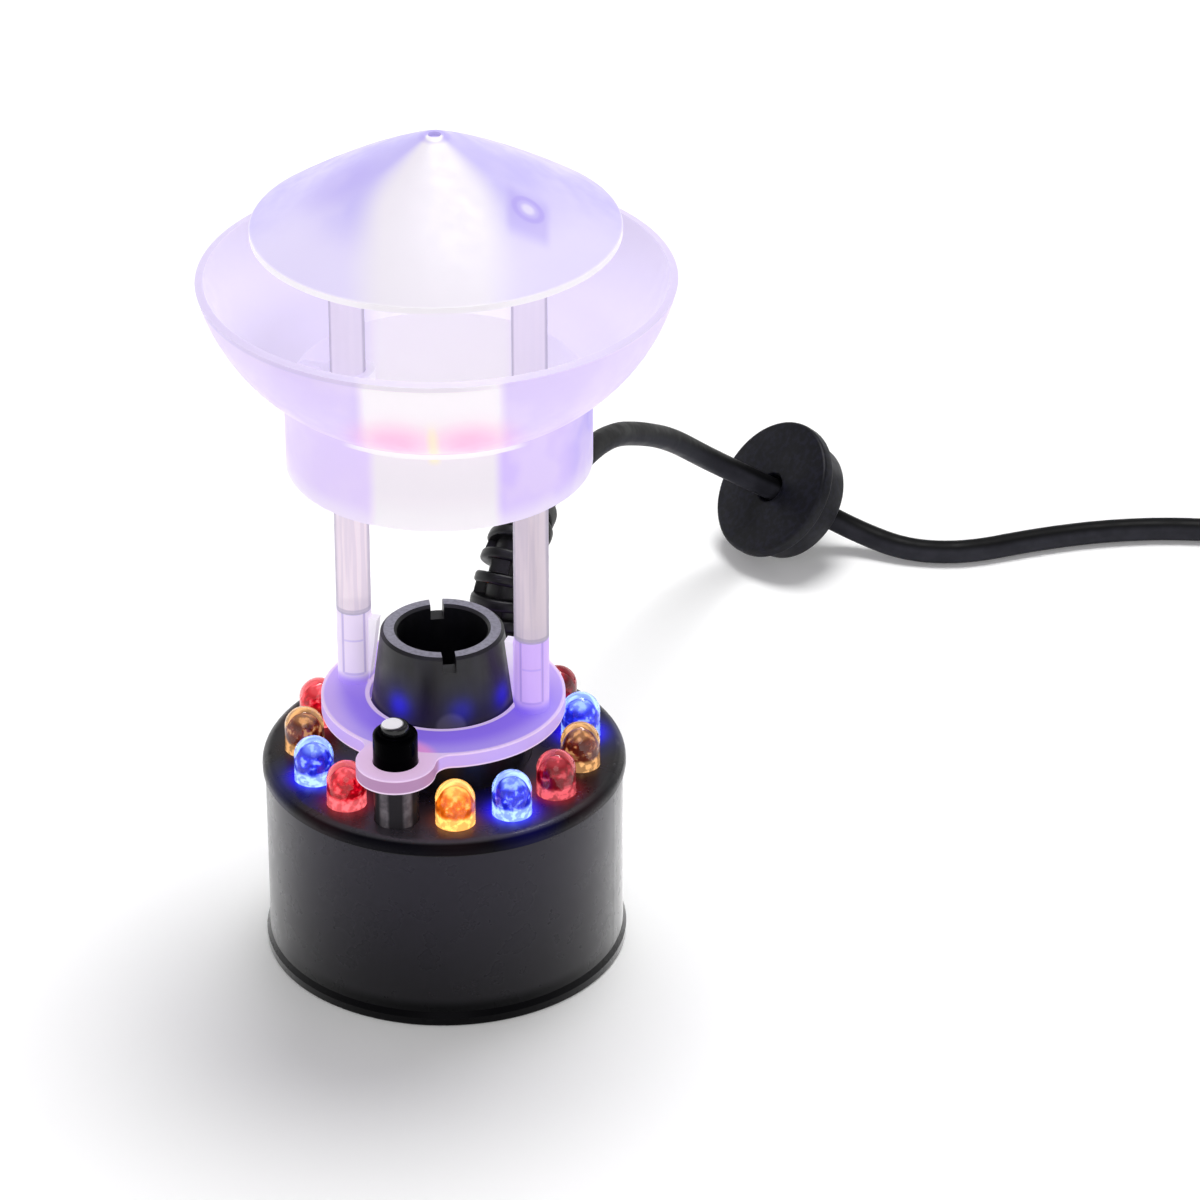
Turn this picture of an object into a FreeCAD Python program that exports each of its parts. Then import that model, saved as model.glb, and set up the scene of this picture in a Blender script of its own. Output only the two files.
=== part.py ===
import FreeCAD, Part
import Sketcher
import math
import os
import re

# Ultrasonic mist maker: a round sealed base with a ring of lights, a level sensor, a nozzle collar
# over the ceramic disc, a splash guard that stands on the collar, and a lead with a rubber grommet.
# Millimetres, +Z up, origin at the centre of the base's underside. The sensor is on the -Y side
# and the lead leaves on the +Y side.

doc = FreeCAD.newDocument("MistMaker")
sheet = doc.addObject("Spreadsheet::Sheet", "Dims")

dims = {
    # base housing
    "shell_radius": 22.7,
    "shell_wall": 1.4,
    "shell_height": 24.9,
    "lip_radius": 23.15,
    "lip_height": 1.2,
    "lip_blend": 0.7,
    "lip_edge": 0.2,
    "seal_thickness": 0.3,
    "cover_radius": 23.05,
    "cover_plate": 1.8,
    "cover_round": 1.3,
    "skirt_wall": 1.2,
    "skirt_gap": 0.1,
    "ledge_width": 1.7,
    "ledge_depth": 1.5,
    "plate_thickness": 2.0,
    "plate_gap": 0.1,
    "gasket_thickness": 0.8,
    "gasket_width": 1.2,
    # screws in the base
    "screw_circle": 16.6,
    "boss_radius": 2.6,
    "boss_rib": 2.4,
    "screw_radius": 0.95,
    "screw_head_radius": 2.0,
    "screw_head_height": 0.8,
    "screw_sink": 0.15,
    "screw_gap": 0.1,
    "screw_top": 6.0,
    "screw_slot": 0.5,
    "pin_radius": 0.8,
    "pin_gap": 0.1,
    "pin_stand": 0.8,
    # boards
    "board_seat": 7.0,
    "board_thickness": 1.6,
    "board_gap": 0.5,
    "led_board_inner": 14.2,
    "led_board_gap": 0.2,
    "led_board_top": 22.6,
    "stud_circle": 15.0,
    "stud_radius": 1.1,
    "stud_pin_radius": 0.6,
    "stud_pin_stand": 0.5,
    "spigot_height": 2.4,
    # parts on the main board
    "transistor_width": 10.0,
    "transistor_depth": 4.4,
    "part_headroom": 0.8,
    "can_headroom": 1.8,
    "transistor_x": 7.0,
    "transistor_y": 6.0,
    "heat_sink_width": 12.0,
    "heat_sink_depth": 1.5,
    "choke_outer": 4.2,
    "choke_inner": 1.6,
    "choke_height": 4.4,
    "choke_x": 9.0,
    "choke_y": 7.0,
    "can_radius": 2.5,
    "can_spacing": 5.2,
    "power_lead_radius": 0.6,
    "power_lead_spacing": 1.6,
    "disc_lead_radius": 0.4,
    "disc_lead_x": 6.5,
    # lights and sensor on their shared ring
    "ring_radius": 17.66,
    "ring_step": 24,
    "led_radius": 2.5,
    "led_stand": 3.2,
    "led_flange": 0.4,
    "led_flange_height": 1.0,
    "led_gap": 0.05,
    "lead_pitch": 2.54,
    "lead_radius": 0.25,
    "lead_gap": 0.1,
    "lead_tail": 0.8,
    "sensor_radius": 2.8,
    "sensor_stand": 12.6,
    "sensor_chamfer": 0.7,
    "sensor_pin_radius": 1.75,
    "sensor_pin_stand": 1.0,
    "sensor_flange": 0.3,
    # ceramic disc and its seat
    "cup_radius": 13.2,
    "bore_radius": 11.2,
    "seat_height": 18.9,
    "seat_floor": 1.5,
    "seat_opening": 8.4,
    "fit_gap": 0.1,
    "disc_radius": 10.0,
    "disc_thickness": 1.3,
    "disc_seal_height": 3.0,
    "disc_seal_inner": 8.6,
    "slip_washer_height": 0.8,
    "spring_radius": 2.0,
    "spring_wire": 0.5,
    "spring_coils": 5,
    # nozzle collar
    "collar_foot_radius": 10.3,
    "collar_foot_height": 6.3,
    "collar_shoulder_radius": 9.2,
    "collar_top_radius": 7.74,
    "collar_height": 17.5,
    "nozzle_radius": 5.74,
    "nozzle_foot_radius": 8.4,
    "slot_width": 1.7,
    "slot_depth": 2.0,
    "slot_turn": 26,
    "collar_edge": 0.35,
    # splash guard
    "guard_gap": 0.1,
    "guard_plate_radius": 15.4,
    "guard_plate": 2.0,
    "eyelet_radius": 4.95,
    "neck_fillet": 2.2,
    "eyelet_gap": 0.1,
    "rib_thickness": 1.4,
    "rib_gap": 0.45,
    "rib_height": 9.2,
    "leg_offset": 11.8,
    "post_radius": 2.2,
    "stub_height": 10.4,
    "spigot_radius": 1.3,
    "spigot_length": 4.0,
    "socket_gap": 0.05,
    "socket_bottom": 0.2,
    "post_length": 58.3,
    "bowl_stand": 23.0,
    "bowl_throat_radius": 18.9,
    "bowl_throat_height": 10.4,
    "bowl_rim_radius": 29.24,
    "bowl_flare_height": 14.4,
    "bowl_flare_curve": 24.0,
    "bowl_wall": 1.0,
    "sleeve_wall": 1.1,
    "web_thickness": 1.3,
    "cap_radius": 22.5,
    "cap_reach": 4.3,
    "cap_band": 0.8,
    "cap_rise": 11.9,
    "cap_curve": 145,
    "cap_nose": 1.3,
    "cap_dimple_radius": 0.8,
    "cap_dimple_depth": 0.5,
    "cap_wall": 1.2,
    "cap_socket_depth": 2.6,
    # lead and what is on it
    "cord_radius": 1.65,
    "cord_first_run": 13.4,
    "boot_radius": 4.75,
    "boot_end_radius": 3.5,
    "boot_core": 2.6,
    "boot_foot": 1.3,
    "boot_place_x": 0.35,
    "boot_place_y": 18.0,
    "boot_heading": 4.3,
    "boot_lean": 20,
    "boot_straight": 10.5,
    "boot_bend_radius": 12.0,
    "boot_end_lean": 89,
    "boot_ribs": 8,
    "boot_rib_thickness": 1.5,
    "boot_last_rib_radius": 3.9,
    "boot_cap_length": 3.2,
    "boot_stem": 2.4,
    "boot_bead": 0.5,
    "boot_bead_height": 1.0,
    "grommet_radius": 10.2,
    "grommet_flange": 2.2,
    "grommet_step_radius": 9.3,
    "grommet_step": 2.0,
    "grommet_end_radius": 8.6,
    "grommet_length": 6.5,
    "grommet_bore_gap": 0.35,
    "grommet_mouth": 1.2,
    "grommet_edge": 0.6,
    "coil_place_x": 92.6,
    "coil_place_y": 153.8,
    "coil_turn_radius": 17.5,
    "coil_columns": 3,
    "coil_layers": 4,
    "coil_slack": 0.1,
    "coil_start": -98,
    "coil_end": 200,
    "plug_radius": 5.0,
    "plug_grip_length": 14.0,
    "plug_neck_radius": 2.7,
    "plug_neck_end_radius": 3.1,
    "plug_neck_length": 6.0,
    "plug_edge": 0.8,
    "barrel_radius": 2.75,
    "barrel_bore": 1.05,
    "barrel_length": 9.5,
    "barrel_root": 3.0,
    "barrel_wall": 0.35,
    "barrel_shoulder": 3.5,
}

# Sizes that several pieces share, worked out on the sheet from the ones above.
derived = {
    "seam": "shell_height + seal_thickness",
    "cover_top": "seam + cover_plate",
    "shell_inner": "shell_radius - shell_wall",
    "ledge_inner": "shell_inner - ledge_width",
    "ledge_bottom": "plate_thickness + gasket_thickness",
    "board_top": "board_seat + board_thickness",
    "transistor_top": "seat_height - seat_floor - part_headroom",
    "can_top": "seat_height - seat_floor - can_headroom",
    "skirt_outer": "shell_inner - skirt_gap",
    "skirt_inner": "skirt_outer - skirt_wall",
    "spigot_bottom": "seam - spigot_height",
    "led_board_outer": "skirt_inner - led_board_gap",
    "led_board_bottom": "led_board_top - board_thickness",
    "led_bottom": "seam - led_flange_height",
    "lead_bottom": "led_board_bottom - lead_tail",
    "disc_bottom": "seat_height + (disc_seal_height - disc_thickness) / 2",
    "thread_radius": "bore_radius - fit_gap",
    "washer_bottom": "seat_height + disc_seal_height",
    "collar_bottom": "washer_bottom + slip_washer_height",
    "collar_top": "cover_top + collar_height",
    "collar_taper": "(collar_shoulder_radius - collar_top_radius) / (collar_top - guard_bottom)",
    "guard_bottom": "cover_top + collar_foot_height",
    "guard_top": "guard_bottom + guard_plate",
    "guard_hole": "collar_shoulder_radius + guard_gap",
    "joint_height": "guard_top + stub_height",
    "socket_radius": "spigot_radius + socket_gap",
    "post_top": "joint_height + post_length",
    "cap_bottom": "post_top - cap_reach",
    "bowl_bottom": "joint_height + bowl_stand",
    "throat_top": "bowl_bottom + bowl_throat_height",
    "bowl_rim_height": "throat_top + bowl_flare_height",
    "bowl_inner": "bowl_throat_radius - bowl_wall",
    "sleeve_bore": "post_radius + socket_gap",
    "sleeve_radius": "sleeve_bore + sleeve_wall",
    "cap_shoulder": "cap_bottom + cap_band",
    "cap_peak": "cap_shoulder + cap_rise",
    "cap_inner": "cap_radius - cap_wall",
    "tube_inner": "barrel_radius - barrel_wall",
    "coil_spread": "(coil_columns - 1) * cord_radius",
    "coil_outer": "coil_turn_radius + coil_spread + cord_radius + coil_slack",
    "coil_inner": "coil_turn_radius - coil_spread - cord_radius - coil_slack",
    "coil_height": "2 * cord_radius * coil_layers + coil_slack",
    # the bowl's flare: its chord, and the centre of its arc
    "flare_width": "bowl_rim_radius - bowl_throat_radius",
    "flare_chord": "sqrt(flare_width^2 + bowl_flare_height^2)",
    "flare_sag": "sqrt(bowl_flare_curve^2 - flare_chord^2 / 4) / flare_chord",
    "flare_x": "(bowl_rim_radius + bowl_throat_radius) / 2 - flare_sag * bowl_flare_height",
    "flare_z": "(throat_top + bowl_rim_height) / 2 + flare_sag * flare_width",
    "flare_inner_curve": "bowl_flare_curve - bowl_wall",
    "flare_inner_start": "flare_z - sqrt(flare_inner_curve^2 - (bowl_inner - flare_x)^2)",
    "rim_share": "flare_inner_curve / bowl_flare_curve",
    "rim_inner_radius": "flare_x + (bowl_rim_radius - flare_x) * rim_share",
    "rim_inner_height": "flare_z + (bowl_rim_height - flare_z) * rim_share",
    # the necks where the guard ring runs into the eyelet round the sensor
    "neck_ring": "guard_plate_radius + neck_fillet",
    "neck_eyelet": "eyelet_radius + neck_fillet",
    "neck_y": "-(neck_ring^2 + ring_radius^2 - neck_eyelet^2) / (2 * ring_radius)",
    "neck_x": "sqrt(neck_ring^2 - neck_y^2)",
}
for row, (alias, size) in enumerate(dims.items(), start=1):
    sheet.set(f"A{row}", alias)
    sheet.set(f"B{row}", str(size))
    sheet.setAlias(f"B{row}", alias)
for row, alias in enumerate(derived, start=len(dims) + 1):
    sheet.set(f"A{row}", alias)
    sheet.setAlias(f"B{row}", alias)
for row, (alias, formula) in enumerate(derived.items(), start=len(dims) + 1):
    sheet.set(f"B{row}", f"={formula}")
doc.recompute()


def bind(text):
    """The expression with each of the sheet's names given as the sheet's cell."""
    word = r"\b[a-z]+(?:_[a-z]+)*\b"
    return re.sub(word, lambda m: f"Dims.{m[0]}" if m[0] in names else m[0], str(text))


def value(text):
    """What an expression on the sheet's names comes to now."""
    sheet.set("D1", f"={text}")
    sheet.recompute()
    return float(sheet.get("D1"))


names = {*dims, *derived}
nodes = []


def node(label, thing):
    """Gives a finished piece its name in the list of sub-parts."""
    thing.Label = label
    nodes.append(thing)
    return thing


def place(thing, x=None, y=None, z=None):
    """Ties a piece's place to the sheet."""
    for axis, text in (("x", x), ("y", y), ("z", z)):
        if text is not None:
            thing.setExpression(f".Placement.Base.{axis}", bind(text))
    return thing


def arc_between(start, end, radius, turn):
    """The arc from start to end: turn is 1 to the left, -1 to the right, twice that the long way."""
    chord = end - start
    left = FreeCAD.Vector(-chord.y, chord.x, 0).normalize()
    reach = math.sqrt(max(radius**2 - chord.Length**2 / 4, 0))
    side = 1 if turn in (1, -2) else -1
    centre = (start + end) * 0.5 + left * (side * reach)
    first, last = (start, end) if turn > 0 else (end, start)
    angles = [math.atan2(p.y - centre.y, p.x - centre.x) for p in (first, last)]
    circle = Part.Circle(centre, FreeCAD.Vector(0, 0, 1), radius)
    return Part.ArcOfCircle(circle, *angles)


def outline(body, points, plane):
    """A closed sketch through points of (x, y), or (x, y, radius, turn) where an arc starts."""
    sketch = body.newObject("Sketcher::SketchObject", "Outline")
    features = body.Origin.OriginFeatures
    sketch.AttachmentSupport = [(next(f for f in features if f.Role == plane), "")]
    sketch.MapMode = "FlatFace"
    spots = [FreeCAD.Vector(value(p[0]), value(p[1]), 0) for p in points]
    ends = []
    for i, point in enumerate(points):
        start, end = spots[i], spots[(i + 1) % len(spots)]
        if len(point) == 2:
            sketch.addGeometry(Part.LineSegment(start, end), False)
            ends.append((1, 2))
        else:
            radius, turn = point[2:]
            sketch.addGeometry(arc_between(start, end, value(radius), turn), False)
            ends.append((1, 2) if turn > 0 else (2, 1))
    for i, point in enumerate(points):
        after = (i + 1) % len(points)
        sketch.addConstraint(Sketcher.Constraint("Coincident", i, ends[i][1], after, ends[after][0]))
        for kind, axis, text in (("DistanceX", -2, point[0]), ("DistanceY", -1, point[1])):
            if str(text) == "0":
                sketch.addConstraint(Sketcher.Constraint("PointOnObject", i, ends[i][0], axis))
            else:
                rule = Sketcher.Constraint(kind, -1, 1, i, ends[i][0], value(text))
                k = sketch.addConstraint(rule)
                sketch.setExpression(f"Constraints[{k}]", bind(text))
        if len(point) > 2:
            k = sketch.addConstraint(Sketcher.Constraint("Radius", i, value(point[2])))
            sketch.setExpression(f"Constraints[{k}]", bind(point[2]))
    return sketch


def turned(points, name="Turned"):
    """A body of revolution about its own Z, from its half section of (radius, height)."""
    body = doc.addObject("PartDesign::Body", name)
    sketch = outline(body, points, "XZ_Plane")
    turn = body.newObject("PartDesign::Revolution", "Turn")
    turn.Profile = sketch
    turn.ReferenceAxis = (sketch, ["V_Axis"])
    turn.Angle = 360
    sketch.Visibility = False
    body.Tip = turn
    return body


def ring(inner, outer, bottom, top):
    """A plain ring or, with an inner radius of 0, a disc."""
    return turned([(inner, bottom), (outer, bottom), (outer, top), (inner, top)], "Ring")


def raised(points, bottom, height):
    """A flat outline pushed up from a height."""
    body = doc.addObject("PartDesign::Body", "Raised")
    sketch = outline(body, points, "XY_Plane")
    pad = body.newObject("PartDesign::Pad", "Pad")
    pad.Profile = sketch
    pad.setExpression("Length", bind(height))
    sketch.Visibility = False
    body.Tip = pad
    return place(body, z=bottom)


def cylinder(radius, bottom, top, x=0, y=0):
    """A cylinder that stands between two heights."""
    rod = doc.addObject("Part::Cylinder", "Rod")
    rod.setExpression("Radius", bind(radius))
    rod.setExpression("Height", bind(f"({top}) - ({bottom})"))
    return place(rod, x, y, bottom)


def block(length, width, bottom, top, x, y):
    """A box centred on x and y between two heights."""
    box = doc.addObject("Part::Box", "Block")
    box.setExpression("Length", bind(length))
    box.setExpression("Width", bind(width))
    box.setExpression("Height", bind(f"({top}) - ({bottom})"))
    return place(box, f"({x}) - ({length}) / 2", f"({y}) - ({width}) / 2", bottom)


def cut(base, tools):
    """The base with the tools taken away."""
    result = doc.addObject("Part::Cut", "Cut")
    result.Base = base
    result.Tool = fused(tools) if len(tools) > 1 else tools[0]
    return result


def fused(things):
    """Several solids as one."""
    result = doc.addObject("Part::MultiFuse", "Joined")
    result.Shapes = things
    result.Refine = True
    return result


def group(things):
    """Several separate solids that make one sub-part."""
    result = doc.addObject("Part::Compound", "Group")
    result.Links = things
    return result


def made(label, shape, z="0"):
    """A piece whose shape is worked out here from the sheet's values."""
    thing = doc.addObject("Part::Feature", "Shape")
    thing.Shape = shape
    return node(label, place(thing, z=z))


def on_ring(turns, radius="ring_radius"):
    """The place on a circle, so many degrees round from the sensor's side towards +X."""
    return f"{radius} * sin({turns})", f"-{radius} * cos({turns})"


# Lights' places round the ring: 1 to 6 towards +X from the sensor, 7 to 12 towards -X
led_turns = [f"{side * step} * ring_step" for side in (1, -1) for step in range(1, 7)]
screw_turns = ["0", "120", "240"]
stud_turns = ["36", "156", "276"]

# Base housing
shell = turned(
    [
        ("ledge_inner", "ledge_bottom"),
        ("shell_inner", "ledge_bottom"),
        ("shell_inner", "0"),
        ("lip_radius - lip_edge", "0"),
        ("lip_radius", "lip_edge"),
        ("lip_radius", "lip_height"),
        ("shell_radius", "lip_height + lip_blend"),
        ("shell_radius", "shell_height"),
        ("shell_inner", "shell_height"),
        ("shell_inner", "ledge_bottom + ledge_depth + ledge_width"),
        ("ledge_inner", "ledge_bottom + ledge_depth"),
    ],
    "Shell",
)
bosses = []
drills = []
pins = []
for turns in screw_turns:
    x, y = on_ring(turns, "screw_circle")
    bosses.append(cylinder("boss_radius", "plate_thickness", "board_seat", x, y))
    pins.append(cylinder("pin_radius", "board_seat", "board_top + pin_stand", x, y))
    drills.append(cylinder("screw_radius", "plate_thickness", "screw_top", x, y))
ribs = []
for turns in screw_turns:
    rib = block("2 * boss_radius", "boss_rib", "ledge_bottom", "board_seat", "0", "0")
    reach = "(screw_circle + boss_radius / 2 + ledge_width / 4)"
    rib.Placement.Rotation = FreeCAD.Rotation(FreeCAD.Vector(0, 0, 1), float(turns) - 90)
    side = f"({turns} - 90)"
    place(
        rib,
        f"{reach} * cos{side} - boss_radius * cos{side} + boss_rib / 2 * sin{side}",
        f"{reach} * sin{side} - boss_radius * sin{side} - boss_rib / 2 * cos{side}",
    )
    ribs.append(rib)
node("housing_shell", cut(fused([shell, *bosses, *pins, *ribs]), drills))

plate = ring("0", "shell_inner - plate_gap", "0", "plate_thickness")
sinks = []
screws = []
for turns in screw_turns:
    x, y = on_ring(turns, "screw_circle")
    head_top = "screw_sink + screw_head_height"
    sinks.append(cylinder("screw_head_radius + screw_gap", "0", head_top, x, y))
    sinks.append(cylinder("screw_radius + screw_gap", "0", "plate_thickness", x, y))
    head = cylinder("screw_head_radius", "screw_sink", head_top, x, y)
    shank = cylinder("screw_radius", head_top, "screw_top", x, y)
    slot_top = "screw_head_height / 2 + screw_sink"
    slot = block("3 * screw_head_radius", "screw_slot", "screw_sink", slot_top, x, y)
    screws.append(cut(fused([head, shank]), [slot]))
node("bottom_plate", cut(plate, sinks))
node("bottom_screws", group(screws))
gasket_outer = "shell_inner - plate_gap"
gasket = ring(f"{gasket_outer} - gasket_width", gasket_outer, "plate_thickness", "ledge_bottom")
node("bottom_gasket", gasket)

cover = turned(
    [
        ("bore_radius", "cover_top"),
        ("bore_radius", "seat_height"),
        ("seat_opening", "seat_height"),
        ("seat_opening", "seat_height - seat_floor"),
        ("cup_radius", "seat_height - seat_floor"),
        ("cup_radius", "seam"),
        ("skirt_inner", "seam"),
        ("skirt_inner", "spigot_bottom"),
        ("skirt_outer", "spigot_bottom"),
        ("skirt_outer", "seam"),
        ("cover_radius", "seam"),
        ("cover_radius", "cover_top - cover_round", "cover_round", 1),
        ("cover_radius - cover_round", "cover_top"),
    ],
    "Cover",
)
holes = []
for turns in led_turns:
    x, y = on_ring(turns)
    holes.append(cylinder("led_radius + led_gap", "seam", "cover_top", x, y))
    holes.append(cylinder("led_radius + led_flange + fit_gap", "spigot_bottom", "seam", x, y))
holes.append(cylinder("sensor_radius + led_gap", "seam", "cover_top", "0", "-ring_radius"))
sensor_room = "sensor_radius + sensor_flange + fit_gap"
holes.append(cylinder(sensor_room, "spigot_bottom", "seam", "0", "-ring_radius"))
holes.append(cylinder("boot_stem", "seam", "cover_top", "boot_place_x", "boot_place_y"))
bead_room = "boot_stem + 2 * boot_bead"
holes.append(cylinder(bead_room, "spigot_bottom", "seam", "boot_place_x", "boot_place_y"))
studs = []
for turns in stud_turns:
    x, y = on_ring(turns, "stud_circle")
    studs.append(cylinder("stud_radius", "led_board_top", "seam", x, y))
    stud_pin_bottom = "led_board_bottom - stud_pin_stand"
    studs.append(cylinder("stud_pin_radius", stud_pin_bottom, "led_board_top", x, y))
node("top_cover", fused([cut(cover, holes), *studs]))
node("cover_seal", ring("shell_inner", "shell_radius", "shell_height", "seam"))

# Boards and what stands on them
board = ring("0", "shell_inner - board_gap", "board_seat", "board_top")
board_holes = []
for turns in screw_turns:
    x, y = on_ring(turns, "screw_circle")
    board_holes.append(cylinder("pin_radius + pin_gap", "board_seat", "board_top", x, y))
node("circuit_board", cut(board, board_holes))

led_board = ring("led_board_inner", "led_board_outer", "led_board_bottom", "led_board_top")
lead_holes = []
leads = []
for turns in led_turns:
    for side in (-1, 1):
        x, y = on_ring(turns)
        x = f"{x} + {side} * lead_pitch / 2 * cos({turns})"
        y = f"{y} + {side} * lead_pitch / 2 * sin({turns})"
        lead_holes.append(cylinder("lead_radius + lead_gap", "led_board_bottom", "led_board_top", x, y))
        leads.append(cylinder("lead_radius", "lead_bottom", "led_bottom", x, y))
sensor_leads = []
for side in (-1, 1):
    x, y = f"{side} * lead_pitch / 2", "-ring_radius"
    lead_holes.append(cylinder("lead_radius + lead_gap", "led_board_bottom", "led_board_top", x, y))
    sensor_leads.append(cylinder("lead_radius", "lead_bottom", "led_bottom", x, y))
for turns in stud_turns:
    x, y = on_ring(turns, "stud_circle")
    lead_holes.append(cylinder("stud_pin_radius", "led_board_bottom", "led_board_top", x, y))
board_span = ("led_board_bottom", "led_board_top")
lead_holes.append(cylinder("boot_stem", *board_span, "boot_place_x", "boot_place_y"))
node("led_board", cut(led_board, lead_holes))
node("led_leads", group(leads))
node("sensor_leads", group(sensor_leads))

chip_span = ("board_top", "transistor_top", "-transistor_x")
transistor = block("transistor_width", "transistor_depth", *chip_span, "transistor_y")
node("power_transistor", transistor)
sink_y = "transistor_y + (transistor_depth + heat_sink_depth) / 2"
sink = block("heat_sink_width", "heat_sink_depth", *chip_span, sink_y)
node("heat_sink", sink)
winding = turned(
    [
        ("choke_inner", "0"),
        ("choke_outer", "0"),
        ("choke_outer", "choke_height"),
        ("choke_inner", "choke_height"),
    ],
    "Winding",
)
node("choke_coil", place(winding, "choke_x", "-choke_y", "board_top"))
can_places = [("-2 * can_spacing", "-can_spacing"), ("-can_spacing", "-2 * can_spacing")]
cans = [cylinder("can_radius", "board_top", "can_top", x, y) for x, y in can_places]
node("capacitors", group(cans))
wires = []
for side in (-1, 1):
    x = f"boot_place_x + {side} * power_lead_spacing / 2"
    wires.append(cylinder("power_lead_radius", "board_top", "led_bottom", x, "boot_place_y"))
node("power_leads", group(wires))
node("disc_lead", cylinder("disc_lead_radius", "board_top", "disc_bottom", "disc_lead_x", "0"))

spring_height = value("disc_bottom - board_top - spring_wire")
helix = Part.makeHelix(spring_height / value("spring_coils"), spring_height, value("spring_radius"))
wire_start = FreeCAD.Vector(value("spring_radius"), 0, 0)
wire_end = Part.Circle(wire_start, FreeCAD.Vector(0, 1, 0), value("spring_wire / 2"))
spring = Part.Wire(helix.Edges).makePipeShell([Part.Wire([wire_end.toShape()])], True, True)
made("contact_spring", spring, "board_top + spring_wire / 2")

# Lights and level sensor
dome_bottom = "cover_top + led_stand"
for number, turns in enumerate(led_turns, start=1):
    led = turned(
        [
            ("0", "led_bottom"),
            ("led_radius + led_flange", "led_bottom"),
            ("led_radius + led_flange", "seam"),
            ("led_radius", "seam"),
            ("led_radius", dome_bottom, "led_radius", 1),
            ("0", f"{dome_bottom} + led_radius"),
        ],
        "Led",
    )
    node(f"led_{number}", place(led, *on_ring(turns)))

sensor_top = "cover_top + sensor_stand"
sensor = turned(
    [
        ("0", "led_bottom"),
        ("sensor_radius + sensor_flange", "led_bottom"),
        ("sensor_radius + sensor_flange", "seam"),
        ("sensor_radius", "seam"),
        ("sensor_radius", f"{sensor_top} - sensor_chamfer", "sensor_chamfer", 1),
        ("sensor_radius - sensor_chamfer", sensor_top),
        ("sensor_pin_radius", sensor_top),
        ("sensor_pin_radius", f"{sensor_top} - sensor_pin_stand"),
        ("0", f"{sensor_top} - sensor_pin_stand"),
    ],
    "Sensor",
)
node("sensor_body", place(sensor, "0", "-ring_radius"))
tip = turned(
    [
        ("0", f"{sensor_top} - sensor_pin_stand"),
        ("sensor_pin_radius", f"{sensor_top} - sensor_pin_stand"),
        ("sensor_pin_radius", f"{sensor_top} + 0.6 * sensor_pin_stand", "0.4 * sensor_pin_stand", 1),
        ("sensor_pin_radius - 0.4 * sensor_pin_stand", f"{sensor_top} + sensor_pin_stand"),
        ("0", f"{sensor_top} + sensor_pin_stand"),
    ],
    "Tip",
)
node("sensor_tip", place(tip, "0", "-ring_radius"))

# Ceramic disc, its seat and the collar that holds them down
seal_outer = "thread_radius"
disc_seal = turned(
    [
        ("disc_seal_inner", "seat_height"),
        (seal_outer, "seat_height"),
        (seal_outer, "washer_bottom"),
        ("disc_seal_inner", "washer_bottom"),
        ("disc_seal_inner", "disc_bottom + disc_thickness"),
        ("disc_radius", "disc_bottom + disc_thickness"),
        ("disc_radius", "disc_bottom"),
        ("disc_seal_inner", "disc_bottom"),
    ],
    "DiscSeal",
)
node("disc_seal", disc_seal)
node("piezo_disc", ring("0", "disc_radius", "disc_bottom", "disc_bottom + disc_thickness"))
node("slip_washer", ring("disc_seal_inner", "thread_radius", "washer_bottom", "collar_bottom"))

collar = turned(
    [
        ("nozzle_foot_radius", "collar_bottom"),
        ("thread_radius", "collar_bottom"),
        ("thread_radius", "cover_top - fit_gap"),
        ("collar_foot_radius", "cover_top - fit_gap"),
        ("collar_foot_radius", "guard_bottom"),
        ("collar_shoulder_radius", "guard_bottom"),
        ("collar_top_radius + collar_edge * collar_taper", "collar_top - collar_edge"),
        ("collar_top_radius - collar_edge", "collar_top"),
        ("nozzle_radius + collar_edge", "collar_top"),
        ("nozzle_radius", "collar_top - collar_edge"),
        ("nozzle_radius", "guard_top"),
        ("nozzle_foot_radius", "cover_top"),
    ],
    "Collar",
)
key_span = ("collar_top - slot_depth", "collar_top + slot_depth", "0", "0")
key = block("3 * collar_top_radius", "slot_width", *key_span)
turn = "(slot_turn - 90)"
key.Placement.Rotation = FreeCAD.Rotation(FreeCAD.Vector(0, 0, 1), value(turn))
place(
    key,
    f"slot_width / 2 * sin{turn} - 1.5 * collar_top_radius * cos{turn}",
    f"-slot_width / 2 * cos{turn} - 1.5 * collar_top_radius * sin{turn}",
)
node("nozzle_collar", cut(collar, [key]))

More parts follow.
